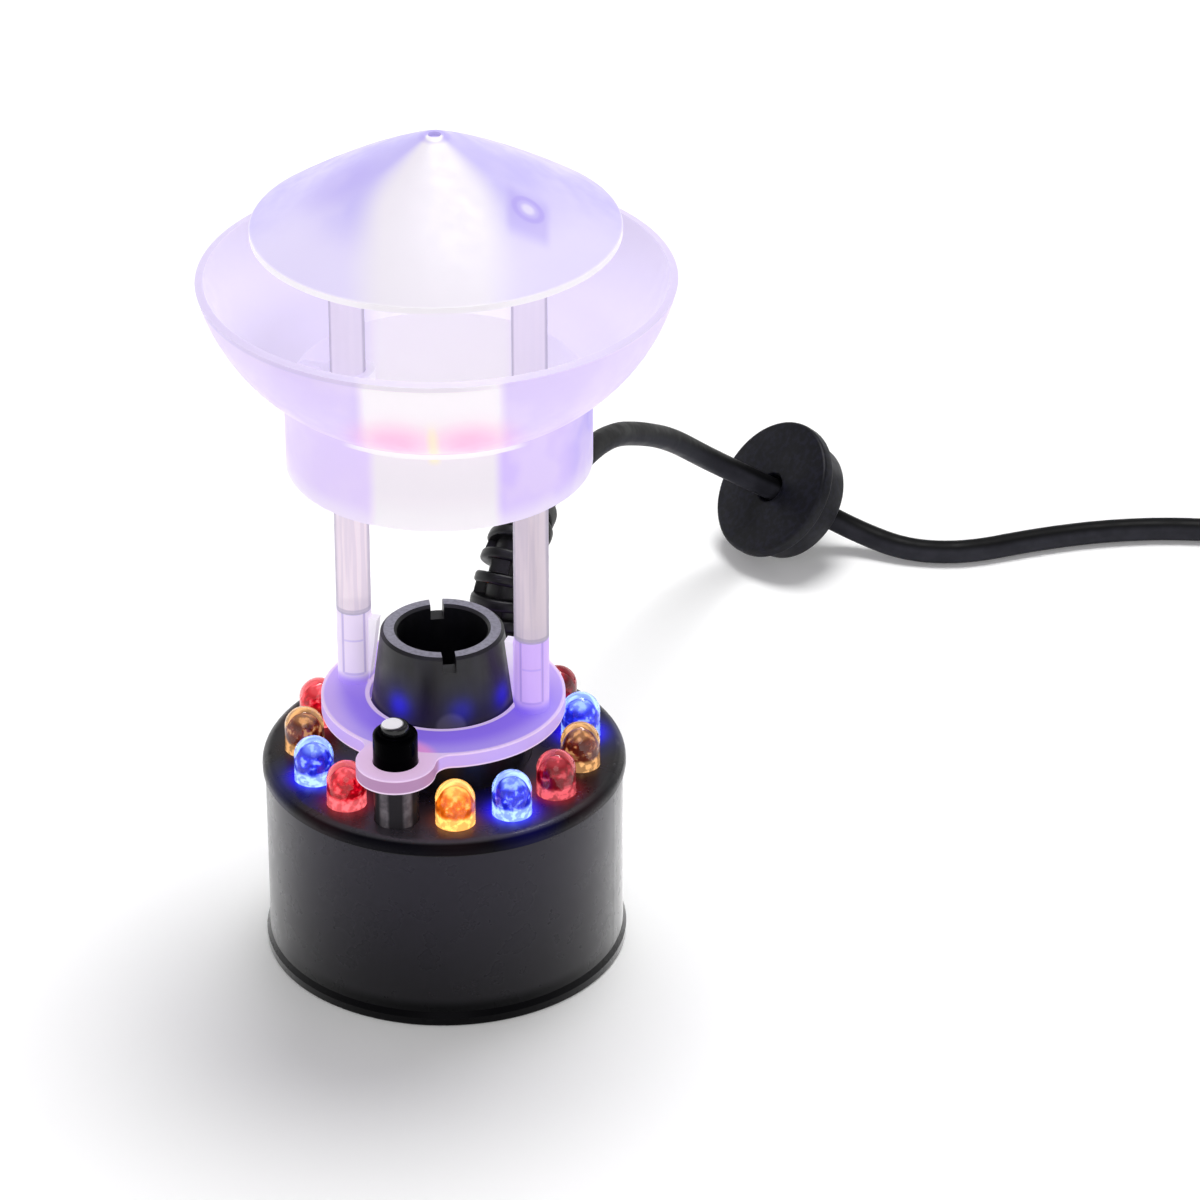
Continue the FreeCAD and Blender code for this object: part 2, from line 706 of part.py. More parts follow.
# Splash guard
neck_share = "eyelet_radius / neck_eyelet"
ring_share = "guard_plate_radius / neck_ring"
eyelet_y = f"(-ring_radius + (neck_y + ring_radius) * {neck_share})"
plate = raised(
    [
        (f"neck_x * {ring_share}", f"neck_y * {ring_share}", "guard_plate_radius", 2),
        (f"-neck_x * {ring_share}", f"neck_y * {ring_share}", "neck_fillet", -1),
        (f"-neck_x * {neck_share}", eyelet_y, "eyelet_radius", 2),
        (f"neck_x * {neck_share}", eyelet_y, "neck_fillet", -1),
    ],
    "guard_bottom",
    "guard_plate",
)
guard_holes = [
    cylinder("guard_hole", "guard_bottom", "guard_top"),
    cylinder("sensor_radius + eyelet_gap", "guard_bottom", "guard_top", "0", "-ring_radius"),
]
stubs = []
bores = []
for side in (-1, 1):
    leg_x = f"{side} * leg_offset"
    stubs.append(cylinder("post_radius", "guard_bottom + guard_plate / 2", "joint_height", leg_x))
    bore_bottom = "joint_height - spigot_length - socket_bottom"
    bores.append(cylinder("socket_radius", bore_bottom, "joint_height", leg_x))
    foot = "(collar_shoulder_radius + rib_gap)"
    rise = f"({foot} - collar_taper * rib_height)"
    rib = doc.addObject("PartDesign::Body", "Rib")
    corners = [
        (f"{side} * {foot}", "guard_top - guard_plate / 2"),
        (f"{side} * leg_offset", "guard_top - guard_plate / 2"),
        (f"{side} * leg_offset", "guard_top + rib_height"),
        (f"{side} * {rise}", "guard_top + rib_height"),
        (f"{side} * {foot}", "guard_top"),
    ]
    sketch = outline(rib, corners, "XZ_Plane")
    pad = rib.newObject("PartDesign::Pad", "RibPad")
    pad.Profile = sketch
    pad.setExpression("Length", bind("rib_thickness"))
    pad.Midplane = True
    rib.Tip = pad
    sketch.Visibility = False
    stubs.append(rib)
node("guard_ring", cut(fused([plate, *stubs]), [*guard_holes, *bores]))

for side, label in ((-1, "guard_post_left"), (1, "guard_post_right")):
    spigot_bottom = "joint_height - spigot_length"
    post = turned(
        [
            ("0", spigot_bottom),
            ("spigot_radius", spigot_bottom),
            ("spigot_radius", "joint_height"),
            ("post_radius", "joint_height"),
            ("post_radius", "post_top"),
            ("0", "post_top"),
        ],
        "Post",
    )
    node(label, place(post, f"{side} * leg_offset"))

bowl = turned(
    [
        ("bowl_inner", "bowl_bottom"),
        ("bowl_throat_radius", "bowl_bottom"),
        ("bowl_throat_radius", "throat_top", "bowl_flare_curve", 1),
        ("bowl_rim_radius", "bowl_rim_height"),
        ("rim_inner_radius", "rim_inner_height", "flare_inner_curve", -1),
        ("bowl_inner", "flare_inner_start"),
    ],
    "Bowl",
)
grips = []
grip_bores = []
for side in (-1, 1):
    grips.append(cylinder("sleeve_radius", "bowl_bottom", "throat_top", f"{side} * leg_offset"))
    reach = "(bowl_inner + bowl_wall / 2 - leg_offset)"
    middle = f"{side} * (leg_offset + {reach} / 2)"
    grips.append(block(reach, "web_thickness", "bowl_bottom", "throat_top", middle, "0"))
    grip_bores.append(cylinder("sleeve_bore", "bowl_bottom", "throat_top", f"{side} * leg_offset"))
node("guard_bowl", cut(fused([bowl, *grips]), grip_bores))

cap = turned(
    [
        ("0", "cap_bottom"),
        ("cap_radius", "cap_bottom"),
        ("cap_radius", "cap_shoulder", "cap_curve", 1),
        ("cap_nose", "cap_peak"),
        ("cap_dimple_radius", "cap_peak"),
        ("cap_dimple_radius", "cap_peak - cap_dimple_depth"),
        ("0", "cap_peak - cap_dimple_depth"),
    ],
    "Cap",
)
hollow = turned(
    [
        ("0", "cap_bottom"),
        ("cap_inner", "cap_bottom"),
        ("cap_inner", "cap_shoulder - cap_wall / 4", "cap_curve", 1),
        ("cap_nose", "cap_peak - cap_wall - cap_dimple_depth"),
        ("0", "cap_peak - cap_wall - cap_dimple_depth"),
    ],
    "Hollow",
)
cups = []
cup_bores = []
for side in (-1, 1):
    cup_bottom = "post_top - cap_socket_depth"
    cups.append(cylinder("sleeve_radius", cup_bottom, "cap_peak", f"{side} * leg_offset"))
    cup_bores.append(cylinder("post_radius", cup_bottom, "post_top", f"{side} * leg_offset"))
node("guard_cap", cut(cap, [cut(hollow, cups), *cup_bores]))

# Strain relief boot: a stem through the cover, a foot, and a ribbed sleeve that bends to level
heading = math.radians(90 - value("boot_heading"))
across = FreeCAD.Vector(math.cos(heading), math.sin(heading), 0)
upward = FreeCAD.Vector(0, 0, 1)
side_axis = across.cross(upward)
foot = FreeCAD.Vector(value("boot_place_x"), value("boot_place_y"), value("cover_top"))
lean, end_lean = (math.radians(value(name)) for name in ("boot_lean", "boot_end_lean"))
straight, bend = value("boot_straight"), value("boot_bend_radius")
boot_length = straight + bend * (end_lean - lean)


def boot_at(distance):
    """The point on the boot's middle line and its direction there, so far from the foot."""
    angle = lean + max(distance - straight, 0) / bend
    run = min(distance, straight)
    point = foot + (across * math.sin(lean) + upward * math.cos(lean)) * run
    point += across * (bend * (math.cos(lean) - math.cos(angle)))
    point += upward * (bend * (math.sin(angle) - math.sin(lean)))
    return point, across * math.sin(angle) + upward * math.cos(angle)


def disc_at(distance, radius, length):
    """A short round slab centred on the boot's middle line."""
    point, along = boot_at(distance)
    return Part.makeCylinder(radius, length, point - along * (length / 2), along)


def arc_edge(start, middle, end):
    return Part.Arc(start, middle, end).toShape()


bend_points = [boot_at(straight + bend * (end_lean - lean) * share)[0] for share in (0, 0.5, 1)]
core_path = Part.Wire([Part.makeLine(foot, bend_points[0]), arc_edge(*bend_points)])
core_ring = Part.Wire([Part.Circle(foot, boot_at(0)[1], value("boot_core")).toShape()])
below_cover = Part.makeCylinder(2 * value("boot_radius"), value("boot_radius"), foot, -upward)
boot = core_path.makePipeShell([core_ring], True, True).cut(below_cover)
boot_pieces = [Part.makeCylinder(value("boot_radius"), value("boot_foot"), foot)]
stem_bottom = value("led_bottom")
stem_foot = FreeCAD.Vector(foot.x, foot.y, stem_bottom)
boot_pieces.append(Part.makeCylinder(value("boot_stem"), foot.z - stem_bottom, stem_foot))
bead = Part.makeCylinder(value("boot_stem + boot_bead"), value("boot_bead_height"), stem_foot)
boot_pieces.append(bead)
# the core leans out of the foot, so a ball fills the corner between them
boot_pieces.append(Part.makeSphere(value("boot_core"), foot + upward * value("boot_foot")))
cap_length = value("boot_cap_length")
pitch = (boot_length - cap_length - value("boot_foot")) / value("boot_ribs")
for number in range(int(value("boot_ribs"))):
    share = number / (value("boot_ribs") - 1)
    radius = value("boot_radius") * (1 - share) + value("boot_last_rib_radius") * share
    middle = value("boot_foot") + pitch * (number + 0.5)
    boot_pieces.append(disc_at(middle, radius, value("boot_rib_thickness")))
boot_pieces.append(disc_at(boot_length - cap_length / 2, value("boot_end_radius"), cap_length))
boot = boot.multiFuse(boot_pieces).removeSplitter()
boot_end, boot_out = boot_at(boot_length)
end_trim = Part.makeCylinder(2 * value("boot_radius"), value("boot_radius"), boot_end, boot_out)
made("cable_boot", boot.cut(end_trim))

# Lead: its middle line is straight runs joined by arcs
cord_route = [
    boot_end,
    boot_end + boot_out * value("cord_first_run"),
    FreeCAD.Vector(2.4, 59.9, 42.1),
    FreeCAD.Vector(2.7, 73.1, 35.7),
    FreeCAD.Vector(3.0, 86.1, 28.3),
    FreeCAD.Vector(4.6, 97.5, 19.8),
    FreeCAD.Vector(9.5, 106.7, 12.0),
    FreeCAD.Vector(16.5, 111.6, 6.3),
    FreeCAD.Vector(23.5, 112.6, 2.9),
    FreeCAD.Vector(30.9, 111.7, 1.7),
    FreeCAD.Vector(39.1, 113.7, 1.7),
    FreeCAD.Vector(47.2, 120.4, 1.7),
    FreeCAD.Vector(56.5, 126.4, 1.7),
    FreeCAD.Vector(67.0, 130.6, 1.7),
    FreeCAD.Vector(79.0, 132.6, 1.7),
    FreeCAD.Vector(88.0, 133.1, 1.7),
]
tail_route = [
    FreeCAD.Vector(73.0, 146.7, 11.4),
    FreeCAD.Vector(76.4, 137.4, 10.1),
    FreeCAD.Vector(83.2, 129.4, 7.6),
    FreeCAD.Vector(92.5, 125.2, 5.1),
    FreeCAD.Vector(99.2, 124.4, 5.1),
]


def tube(label, route, radius):
    """A round lead along a route: each corner's arc is as large as its two runs allow."""
    edges = []
    radii = []
    length = 0
    at = route[0]
    for before, corner, after in zip(route, route[1:], route[2:]):
        inward, outward = (corner - before), (after - corner)
        half_turn = inward.getAngle(outward) / 2
        setback = 0.45 * min(inward.Length, outward.Length)
        bend_radius = setback / math.tan(half_turn)
        inward.normalize()
        outward.normalize()
        start, end = corner - inward * setback, corner + outward * setback
        inner = (outward - inward).normalize()
        middle = corner + inner * (bend_radius / math.cos(half_turn) - bend_radius)
        edges += [Part.makeLine(at, start), arc_edge(start, middle, end)]
        length += (start - at).Length + bend_radius * 2 * half_turn
        radii.append(bend_radius)
        at = end
    edges.append(Part.makeLine(at, route[-1]))
    length += (route[-1] - at).Length
    first = (route[1] - route[0]).normalize()
    section = Part.Wire([Part.Circle(route[0], first, radius).toShape()])
    shape = Part.Wire(edges).makePipeShell([section], True, False)
    expected = math.pi * radius**2 * length
    print(label, "length", round(length, 1), "radii", [round(r, 1) for r in radii])
    print(label, "volume over section times length", round(shape.Volume / expected, 4))
    made(label, shape)
    return length


cord_radius = value("cord_radius")
route_length = tube("cord", cord_route, cord_radius)
tail_length = tube("cord_tail", tail_route, cord_radius)
turns = value("(coil_end - coil_start) / 360 + coil_columns * coil_layers - 1")
coil_length = turns * 2 * math.pi * value("coil_turn_radius")
print("boot end", boot_end, "first point", cord_route[1])
print("whole lead", round(route_length + coil_length + tail_length, 1), "with turns", round(turns, 2))

coil = ring("coil_inner", "coil_outer", "0", "coil_height")
node("cord_coil", place(coil, "coil_place_x", "coil_place_y"))

# Rubber grommet threaded on the lead
grommet_axis = FreeCAD.Vector(0.50, 0.59, -0.63)
grommet_bore = "(cord_radius + grommet_bore_gap)"
grommet = turned(
    [
        (grommet_bore, "0"),
        ("grommet_radius - grommet_edge", "0"),
        ("grommet_radius", "grommet_edge"),
        ("grommet_radius", "grommet_flange"),
        ("grommet_step_radius", "grommet_flange"),
        ("grommet_step_radius", "grommet_flange + grommet_step"),
        ("grommet_end_radius", "grommet_length"),
        (f"{grommet_bore} + grommet_mouth", "grommet_length"),
    ],
    "Grommet",
)
grommet_axis.normalize()
grommet_place = (cord_route[6] + cord_route[7]) * 0.5 - grommet_axis * value("grommet_length / 2")
grommet.Placement = FreeCAD.Placement(grommet_place, FreeCAD.Rotation(upward, grommet_axis))
node("cord_grommet", grommet)

# Low-voltage plug, lying on the floor beside the coil
plug_start = tail_route[-1]
plug_turn = FreeCAD.Rotation(FreeCAD.Vector(0, 0, 1), tail_route[-1] - tail_route[-2])
neck_end = "plug_neck_length"
grip_end = "(plug_neck_length + plug_grip_length)"
plug = turned(
    [
        ("0", "0"),
        ("plug_neck_radius", "0"),
        ("plug_neck_end_radius", neck_end),
        ("plug_radius - plug_edge", neck_end),
        ("plug_radius", f"{neck_end} + plug_edge"),
        ("plug_radius", f"{grip_end} - plug_edge"),
        ("plug_radius - plug_edge", grip_end),
        ("barrel_shoulder", grip_end),
        ("barrel_shoulder", f"{grip_end} - barrel_root"),
        ("0", f"{grip_end} - barrel_root"),
    ],
    "Plug",
)
barrel_end = f"({grip_end} + barrel_length)"
root = f"({grip_end} - barrel_root)"
barrel = turned(
    [
        ("tube_inner", root),
        ("barrel_shoulder", root),
        ("barrel_shoulder", grip_end),
        ("barrel_radius", grip_end),
        ("barrel_radius", barrel_end),
        ("tube_inner", barrel_end),
    ],
    "Barrel",
)
insulator = ring("barrel_bore", "tube_inner", root, f"{barrel_end} - barrel_wall")
for thing, label in ((plug, "plug_body"), (barrel, "plug_barrel"), (insulator, "plug_insulator")):
    thing.Placement = FreeCAD.Placement(plug_start, plug_turn)
    node(label, thing)

doc.recompute()
for thing in doc.Objects:
    if {"Invalid", "Error"} & set(thing.State):
        print("not built:", thing.Label, thing.State)
os.makedirs("parts", exist_ok=True)
for thing in nodes:
    shape = thing.Shape
    if not shape.isValid() or not shape.Solids:
        print("bad shape:", thing.Label)
    shape.exportStep(f"parts/{thing.Label}.step")
box = Part.makeCompound([thing.Shape for thing in nodes]).BoundBox
corners = (box.XMin, box.XMax, box.YMin, box.YMax, box.ZMin, box.ZMax)
print(len(nodes), "nodes; box", [round(v, 2) for v in corners])
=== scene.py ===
import math
import bmesh
import bpy
from mathutils import Matrix, Vector


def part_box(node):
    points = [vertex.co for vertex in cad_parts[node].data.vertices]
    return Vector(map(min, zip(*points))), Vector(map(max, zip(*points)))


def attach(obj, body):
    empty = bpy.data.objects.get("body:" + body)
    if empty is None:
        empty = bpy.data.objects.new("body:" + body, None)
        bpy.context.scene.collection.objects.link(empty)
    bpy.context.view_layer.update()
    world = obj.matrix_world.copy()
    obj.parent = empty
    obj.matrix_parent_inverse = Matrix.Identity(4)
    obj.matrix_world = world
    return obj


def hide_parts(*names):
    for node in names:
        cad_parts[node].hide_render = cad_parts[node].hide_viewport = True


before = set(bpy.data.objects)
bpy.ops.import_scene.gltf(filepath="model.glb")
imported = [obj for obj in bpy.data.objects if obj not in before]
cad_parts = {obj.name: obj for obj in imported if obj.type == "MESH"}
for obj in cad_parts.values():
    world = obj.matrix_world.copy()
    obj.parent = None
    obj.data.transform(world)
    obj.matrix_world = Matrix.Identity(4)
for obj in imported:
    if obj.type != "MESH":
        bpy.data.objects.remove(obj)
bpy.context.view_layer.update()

mm = 0.001
up = Vector((0, 0, 1))

# the camera, as it looks at the object: turned 18 degrees to the sensor's right, 30 degrees up
camera = {
    "azimuth": math.radians(18.1),
    "elevation": math.radians(29.65),
    "distance": 700 * mm,
    "lens": 168.15,
    "sensor": 36,
    "nearest": 0.01,
    "target": Vector((18.77, 6.14, 48.5)) * mm,
}
viewRight = Vector((math.cos(camera["azimuth"]), math.sin(camera["azimuth"]), 0))
viewFront = Vector((math.sin(camera["azimuth"]), -math.cos(camera["azimuth"]), 0))
viewBack = viewFront * math.cos(camera["elevation"]) + up * math.sin(camera["elevation"])


def middle(nodeName):
    # a node's middle in mm, as shapes and materials are worked out in mm
    low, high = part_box(nodeName)
    return (Vector(low) + Vector(high)) / 2 / mm


def newMaterial(name, colour, roughness, **values):
    material = bpy.data.materials.new(name)
    material.use_nodes = True
    tree = material.node_tree
    surface = tree.nodes["Principled BSDF"]
    surface.inputs["Base Color"].default_value = (*colour, 1)
    surface.inputs["Roughness"].default_value = roughness
    for key, value in values.items():
        surface.inputs[key].default_value = value
    return material, tree, surface


def addNode(tree, kind, inputs=None, **settings):
    made = tree.nodes.new(kind)
    for key, value in settings.items():
        setattr(made, key, value)
    for key, value in (inputs or {}).items():
        if isinstance(value, bpy.types.NodeSocket):
            tree.links.new(value, made.inputs[key])
        else:
            made.inputs[key].default_value = value
    return made


def vectorCalc(tree, operation, first, second=(0, 0, 0)):
    made = addNode(tree, "ShaderNodeVectorMath", {0: first, 1: second}, operation=operation)
    return made.outputs["Value" if operation in ("DOT_PRODUCT", "DISTANCE", "LENGTH") else "Vector"]


def place(tree, scale=(1, 1, 1)):
    # where a point of the surface is, in mm
    where = addNode(tree, "ShaderNodeTexCoord").outputs["Object"]
    return vectorCalc(tree, "MULTIPLY", where, tuple(share / mm for share in scale))


def noise(tree, size, detail=3.0, stretch=(1, 1, 1)):
    inputs = {"Vector": place(tree, stretch), "Scale": 1 / size, "Detail": detail}
    return addNode(tree, "ShaderNodeTexNoise", inputs).outputs["Fac"]


def remap(tree, value, low, high, toLow, toHigh):
    inputs = {"Value": value, "From Min": low, "From Max": high, "To Min": toLow, "To Max": toHigh}
    return addNode(tree, "ShaderNodeMapRange", inputs, interpolation_type="SMOOTHSTEP").outputs["Result"]


def calc(tree, operation, first, second=0.0):
    return addNode(tree, "ShaderNodeMath", {0: first, 1: second}, operation=operation).outputs[0]


def both(tree, *shares):
    total = shares[0]
    for share in shares[1:]:
        total = calc(tree, "MULTIPLY", total, share)
    return total


def either(tree, *shares):
    total = shares[0]
    for share in shares[1:]:
        total = calc(tree, "MAXIMUM", total, share)
    return total


def band(tree, value, low, high, soft):
    # 1 between low and high, falling off over soft at each side
    return both(tree, remap(tree, value, low - soft, low, 0, 1), remap(tree, value, high, high + soft, 1, 0))


def blendColour(tree, share, first, second, blend="MIX"):
    made = addNode(tree, "ShaderNodeMix", data_type="RGBA", blend_type=blend)
    for socket, value in ((made.inputs[0], share), (made.inputs[6], first), (made.inputs[7], second)):
        if isinstance(value, bpy.types.NodeSocket):
            tree.links.new(value, socket)
        elif isinstance(value, (int, float)):
            socket.default_value = value
        else:
            socket.default_value = (*value, 1)
    return made.outputs[2]


def layered(tree, colour, *layers):
    # each layer is how much of it shows, then its colour
    for share, over in layers:
        colour = blendColour(tree, share, colour, over)
    return colour


def setInput(tree, surface, name, value):
    tree.links.new(value, surface.inputs[name])


def bump(tree, surface, height, depth):
    made = addNode(tree, "ShaderNodeBump", {"Height": height, "Distance": depth * mm, "Strength": 1.0})
    setInput(tree, surface, "Normal", made.outputs["Normal"])


def rgb(*levels):
    # screen levels from 0 to 255, as the light that they stand for
    shares = [level / 255 for level in levels]
    return tuple(share / 12.92 if share <= 0.04045 else ((share + 0.055) / 1.055) ** 2.4 for share in shares)


def along(tree, direction):
    return vectorCalc(tree, "DOT_PRODUCT", place(tree), direction)


def awayFromAxis(tree):
    return vectorCalc(tree, "LENGTH", place(tree, (1, 1, 0)))


def distanceTo(tree, point):
    return vectorCalc(tree, "DISTANCE", place(tree), point)


def distanceFromLine(tree, x, y):
    # from an upright line
    return vectorCalc(tree, "DISTANCE", place(tree, (1, 1, 0)), (x, y, 0))


def facingShare(tree, direction=None):
    # how far the surface looks along a direction, or away from the upright axis where none is given
    normal = addNode(tree, "ShaderNodeNewGeometry").outputs["Normal"]
    if direction is None:
        direction = vectorCalc(tree, "NORMALIZE", place(tree, (1, 1, 0)))
    return vectorCalc(tree, "DOT_PRODUCT", normal, direction)


def addLights(tree, surface, lights, start, reach, strength, height):
    # light from the lamps round the cover, spilled on what is near them
    total = (0, 0, 0)
    for centre, colour, power in lights:
        fall = remap(tree, distanceTo(tree, (centre.x, centre.y, height)), start, reach, 1, 0)
        near, far = both(tree, calc(tree, "POWER", fall, 6.0), 0.9), both(tree, fall, 0.09)
        lit = blendColour(tree, both(tree, calc(tree, "ADD", near, far), power), (0, 0, 0), colour)
        total = blendColour(tree, 1.0, total, lit, "ADD")
    setInput(tree, surface, "Emission Color", total)
    surface.inputs["Emission Strength"].default_value = strength


def mouldedPlastic(name, colour, roughness, grain=0.25, depth=0.02, **values):
    # grain and depth of the moulded surface in mm
    material, tree, surface = newMaterial(name, colour, roughness, **values)
    patches = remap(tree, noise(tree, 9, 4), 0.3, 0.7, 0, 1)
    darker, lighter = [c * 0.92 for c in colour], [min(c * 1.08, 1) for c in colour]
    setInput(tree, surface, "Base Color", blendColour(tree, patches, darker, lighter))
    smoother, rougher = roughness * 0.85, roughness * 1.15
    setInput(tree, surface, "Roughness", remap(tree, noise(tree, 3), 0.3, 0.7, smoother, rougher))
    bump(tree, surface, noise(tree, grain, 2), depth)
    return material, tree, surface


def turned(outline, steps=96, closed=True, sweep=math.tau):
    # outline: radius, height and corner round of each point, in mm, spun about the z axis
    shape = bmesh.new()
    dots = [shape.verts.new((radius, 0, height)) for radius, height, corner in outline]
    for pair in list(zip(dots, dots[1:])) + ([(dots[-1], dots[0])] if closed else []):
        shape.edges.new(pair)
    for dot, (radius, height, corner) in zip(dots, outline):
        if corner:
            bmesh.ops.bevel(
                shape, geom=[dot], offset=corner, segments=4, profile=0.5, affect="VERTICES", material=-1)
    full = sweep == math.tau
    bmesh.ops.spin(shape, geom=shape.verts[:] + shape.edges[:], cent=(0, 0, 0), axis=(0, 0, 1), angle=sweep,
                   steps=steps, use_merge=full)
    bmesh.ops.remove_doubles(shape, verts=shape.verts, dist=0.0005)
    if not full:
        bmesh.ops.holes_fill(shape, edges=[edge for edge in shape.edges if edge.is_boundary], sides=0)
    bmesh.ops.recalc_face_normals(shape, faces=shape.faces)
    return shape


def moved(shape, matrix):
    bmesh.ops.transform(shape, matrix=matrix, verts=shape.verts)
    return shape


def joined(shapes):
    whole = bmesh.new()
    for shape in shapes:
        part = bpy.data.meshes.new("part")
        shape.to_mesh(part)
        shape.free()
        whole.from_mesh(part)
        bpy.data.meshes.remove(part)
    return whole


def addPiece(name, shape, material, body, sharp=40):
    # a shape in mm becomes a finished piece in metres
    bmesh.ops.scale(shape, vec=(mm, mm, mm), verts=shape.verts)
    mesh = bpy.data.meshes.new(name)
    shape.to_mesh(mesh)
    shape.free()
    mesh.materials.append(material)
    mesh.shade_smooth()
    mesh.set_sharp_from_angle(angle=math.radians(sharp))
    piece = bpy.data.objects.new(name, mesh)
    bpy.context.scene.collection.objects.link(piece)
    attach(piece, body)
    return piece


def facing(start, direction):
    # stands a piece made along z on a point, with z along the direction
    return Matrix.Translation(start) @ Vector(direction).to_track_quat("Z", "Y").to_matrix().to_4x4()


def dress(material, *nodeNames):
    for nodeName in nodeNames:
        mesh = bpy.data.objects[nodeName].data
        mesh.materials.clear()
        mesh.materials.append(material)


# camera
lens = bpy.data.cameras.new("camera")
lens.lens = camera["lens"]
lens.sensor_width = camera["sensor"]
lens.clip_start = camera["nearest"]
cameraObject = bpy.data.objects.new("camera", lens)
bpy.context.scene.collection.objects.link(cameraObject)
cameraObject.location = camera["target"] + viewBack * camera["distance"]
cameraObject.rotation_mode = "QUATERNION"
cameraObject.rotation_quaternion = (-viewBack).to_track_quat("-Z", "Y")
bpy.context.scene.camera = cameraObject
bpy.context.scene.view_settings.view_transform = "Standard"
print("camera ready")

# studio: pale floor, white surroundings, soft lamps, in metres but for the glow's start and end in mm
studio = {
    "floorSize": 6.0, "floorColour": (0.8, 0.8, 0.8), "floorSeen": (0.95, 0.95, 0.95),
    "floorGlow": 0.1, "farGlow": 0.75, "glowStart": 300, "glowEnd": 1300,
    "horizon": 1.0, "horizonEnd": 0.14, "overhead": 0.3, "overheadStart": 0.55,
}
studioLamps = {
    "keyLamp": {"size": 0.42, "power": 5.45, "place": Vector((0.01, 0.22, 0.85)), "aim": up * 0.03},
    "fillLamp": {"size": 0.5, "power": 0.9, "place": camera["target"] + viewBack * 0.9, "aim": up * 0.05},
}
world = bpy.data.worlds.new("studio")
bpy.context.scene.world = world
world.use_nodes = True
sky = world.node_tree
compass = addNode(sky, "ShaderNodeTexCoord").outputs["Generated"]
rise = addNode(sky, "ShaderNodeSeparateXYZ", {0: compass}).outputs["Z"]
dim = remap(sky, rise, studio["horizonEnd"], studio["overheadStart"], studio["horizon"], studio["overhead"])
seen = addNode(sky, "ShaderNodeLightPath").outputs["Is Camera Ray"]
sky.links.new(calc(sky, "MAXIMUM", dim, seen), sky.nodes["Background"].inputs["Strength"])
sky.nodes["Background"].inputs["Color"].default_value = (1, 1, 1, 1)

floorMaterial, tree, surface = newMaterial("studioFloor", studio["floorColour"], 0.9)
surface.inputs["Specular IOR Level"].default_value = 0.0
rays = addNode(tree, "ShaderNodeLightPath")
seen = either(tree, *(rays.outputs["Is " + kind + " Ray"] for kind in ("Camera", "Glossy", "Transmission")))
setInput(tree, surface, "Base Color", blendColour(tree, seen, studio["floorColour"], studio["floorSeen"]))
surface.inputs["Emission Color"].default_value = (1, 1, 1, 1)
floorGlow = remap(
    tree, awayFromAxis(tree), studio["glowStart"], studio["glowEnd"], studio["floorGlow"], studio["farGlow"])
setInput(tree, surface, "Emission Strength", both(tree, seen, floorGlow))
floorShape = bmesh.new()
bmesh.ops.create_grid(floorShape, x_segments=2, y_segments=2, size=studio["floorSize"] / 2)
floorMesh = bpy.data.meshes.new("studioFloor")
floorShape.to_mesh(floorMesh)
floorMesh.materials.append(floorMaterial)
floor = bpy.data.objects.new("studioFloor", floorMesh)
bpy.context.scene.collection.objects.link(floor)
for name, lamp in studioLamps.items():
    light = bpy.data.lights.new(name, "AREA")
    light.shape = "DISK"
    light.size = lamp["size"]
    light.energy = lamp["power"]
    lampObject = bpy.data.objects.new(name, light)
    bpy.context.scene.collection.objects.link(lampObject)
    lampObject.location = lamp["place"]
    lampObject.rotation_mode = "QUATERNION"
    lampObject.rotation_quaternion = (lamp["aim"] - lamp["place"]).to_track_quat("-Z", "Y")
print("studio ready")

# cord, with its coil and its tail in one line, in mm and degrees but for its length in metres
cordPlan = {
    "radius": 1.65,
    "length": 1.51,
    "lead": [
        (1.449, 32.617, 44.761), (2.454, 45.977, 44.995), (2.4, 59.9, 42.1), (2.7, 73.1, 35.7),
        (3.0, 86.1, 28.3), (4.6, 97.5, 19.8), (9.5, 106.7, 12.0), (16.5, 111.6, 6.3),
        (23.5, 112.6, 2.9), (30.9, 111.7, 1.7), (39.1, 113.7, 1.7), (47.2, 120.4, 1.7),
        (56.5, 126.4, 1.7), (67.0, 130.6, 1.7), (79.0, 132.6, 1.7), (88.0, 133.1, 1.7),
    ],
    "tail": [(76.4, 137.4, 10.1), (83.2, 129.4, 7.6), (92.5, 125.2, 5.1), (99.2, 124.4, 5.1)],
    "coilMiddle": (92.6, 153.8),
    "coilOuter": 20.8,
    "coilStart": -98,
    "coilEnd": 200,
    "columns": 3,
    "layers": 4,
    "pointsPerTurn": 16,
}


def coilPoints(plan):
    pitch = 2 * plan["radius"]
    slots = []
    for layer in range(plan["layers"]):
        columns = range(plan["columns"]) if layer % 2 == 0 else reversed(range(plan["columns"]))
        slots += [(plan["coilOuter"] - pitch * column, plan["radius"] + pitch * layer) for column in columns]
    sweep = plan["coilEnd"] - plan["coilStart"] + 360 * (len(slots) - 1)
    count = round(sweep / 360 * plan["pointsPerTurn"])
    points = []
    for step in range(1, count + 1):
        angle = sweep * step / count
        turn = min(int(angle // 360), len(slots) - 1)
        share = max(0.0, (angle - 360 * turn - 270) / 90) if turn + 1 < len(slots) else 0.0
        here, there = slots[turn], slots[min(turn + 1, len(slots) - 1)]
        radius, height = (a + (b - a) * share for a, b in zip(here, there))
        heading = math.radians(plan["coilStart"] + angle)
        points.append((plan["coilMiddle"][0] + radius * math.cos(heading),
                       plan["coilMiddle"][1] + radius * math.sin(heading), height))
    return points


cordBlack, tree, surface = mouldedPlastic("cordBlack", rgb(10, 10, 13), 0.5, grain=0.35, depth=0.008)
surface.inputs["Specular IOR Level"].default_value = 0.1
# painted reflection: the cord lighter where it faces down and to the front, broken up by noise
below = facingShare(tree, viewFront * 0.75 - up * 0.65)
paintedLowerReflection = both(tree, remap(tree, below, -0.1, 0.5, 0, 1), remap(tree, noise(tree, 3), 0.35, 0.65, 0.7, 1))
setInput(tree, surface, "Base Color", blendColour(tree, paintedLowerReflection, rgb(7, 7, 9), rgb(50, 50, 57)))

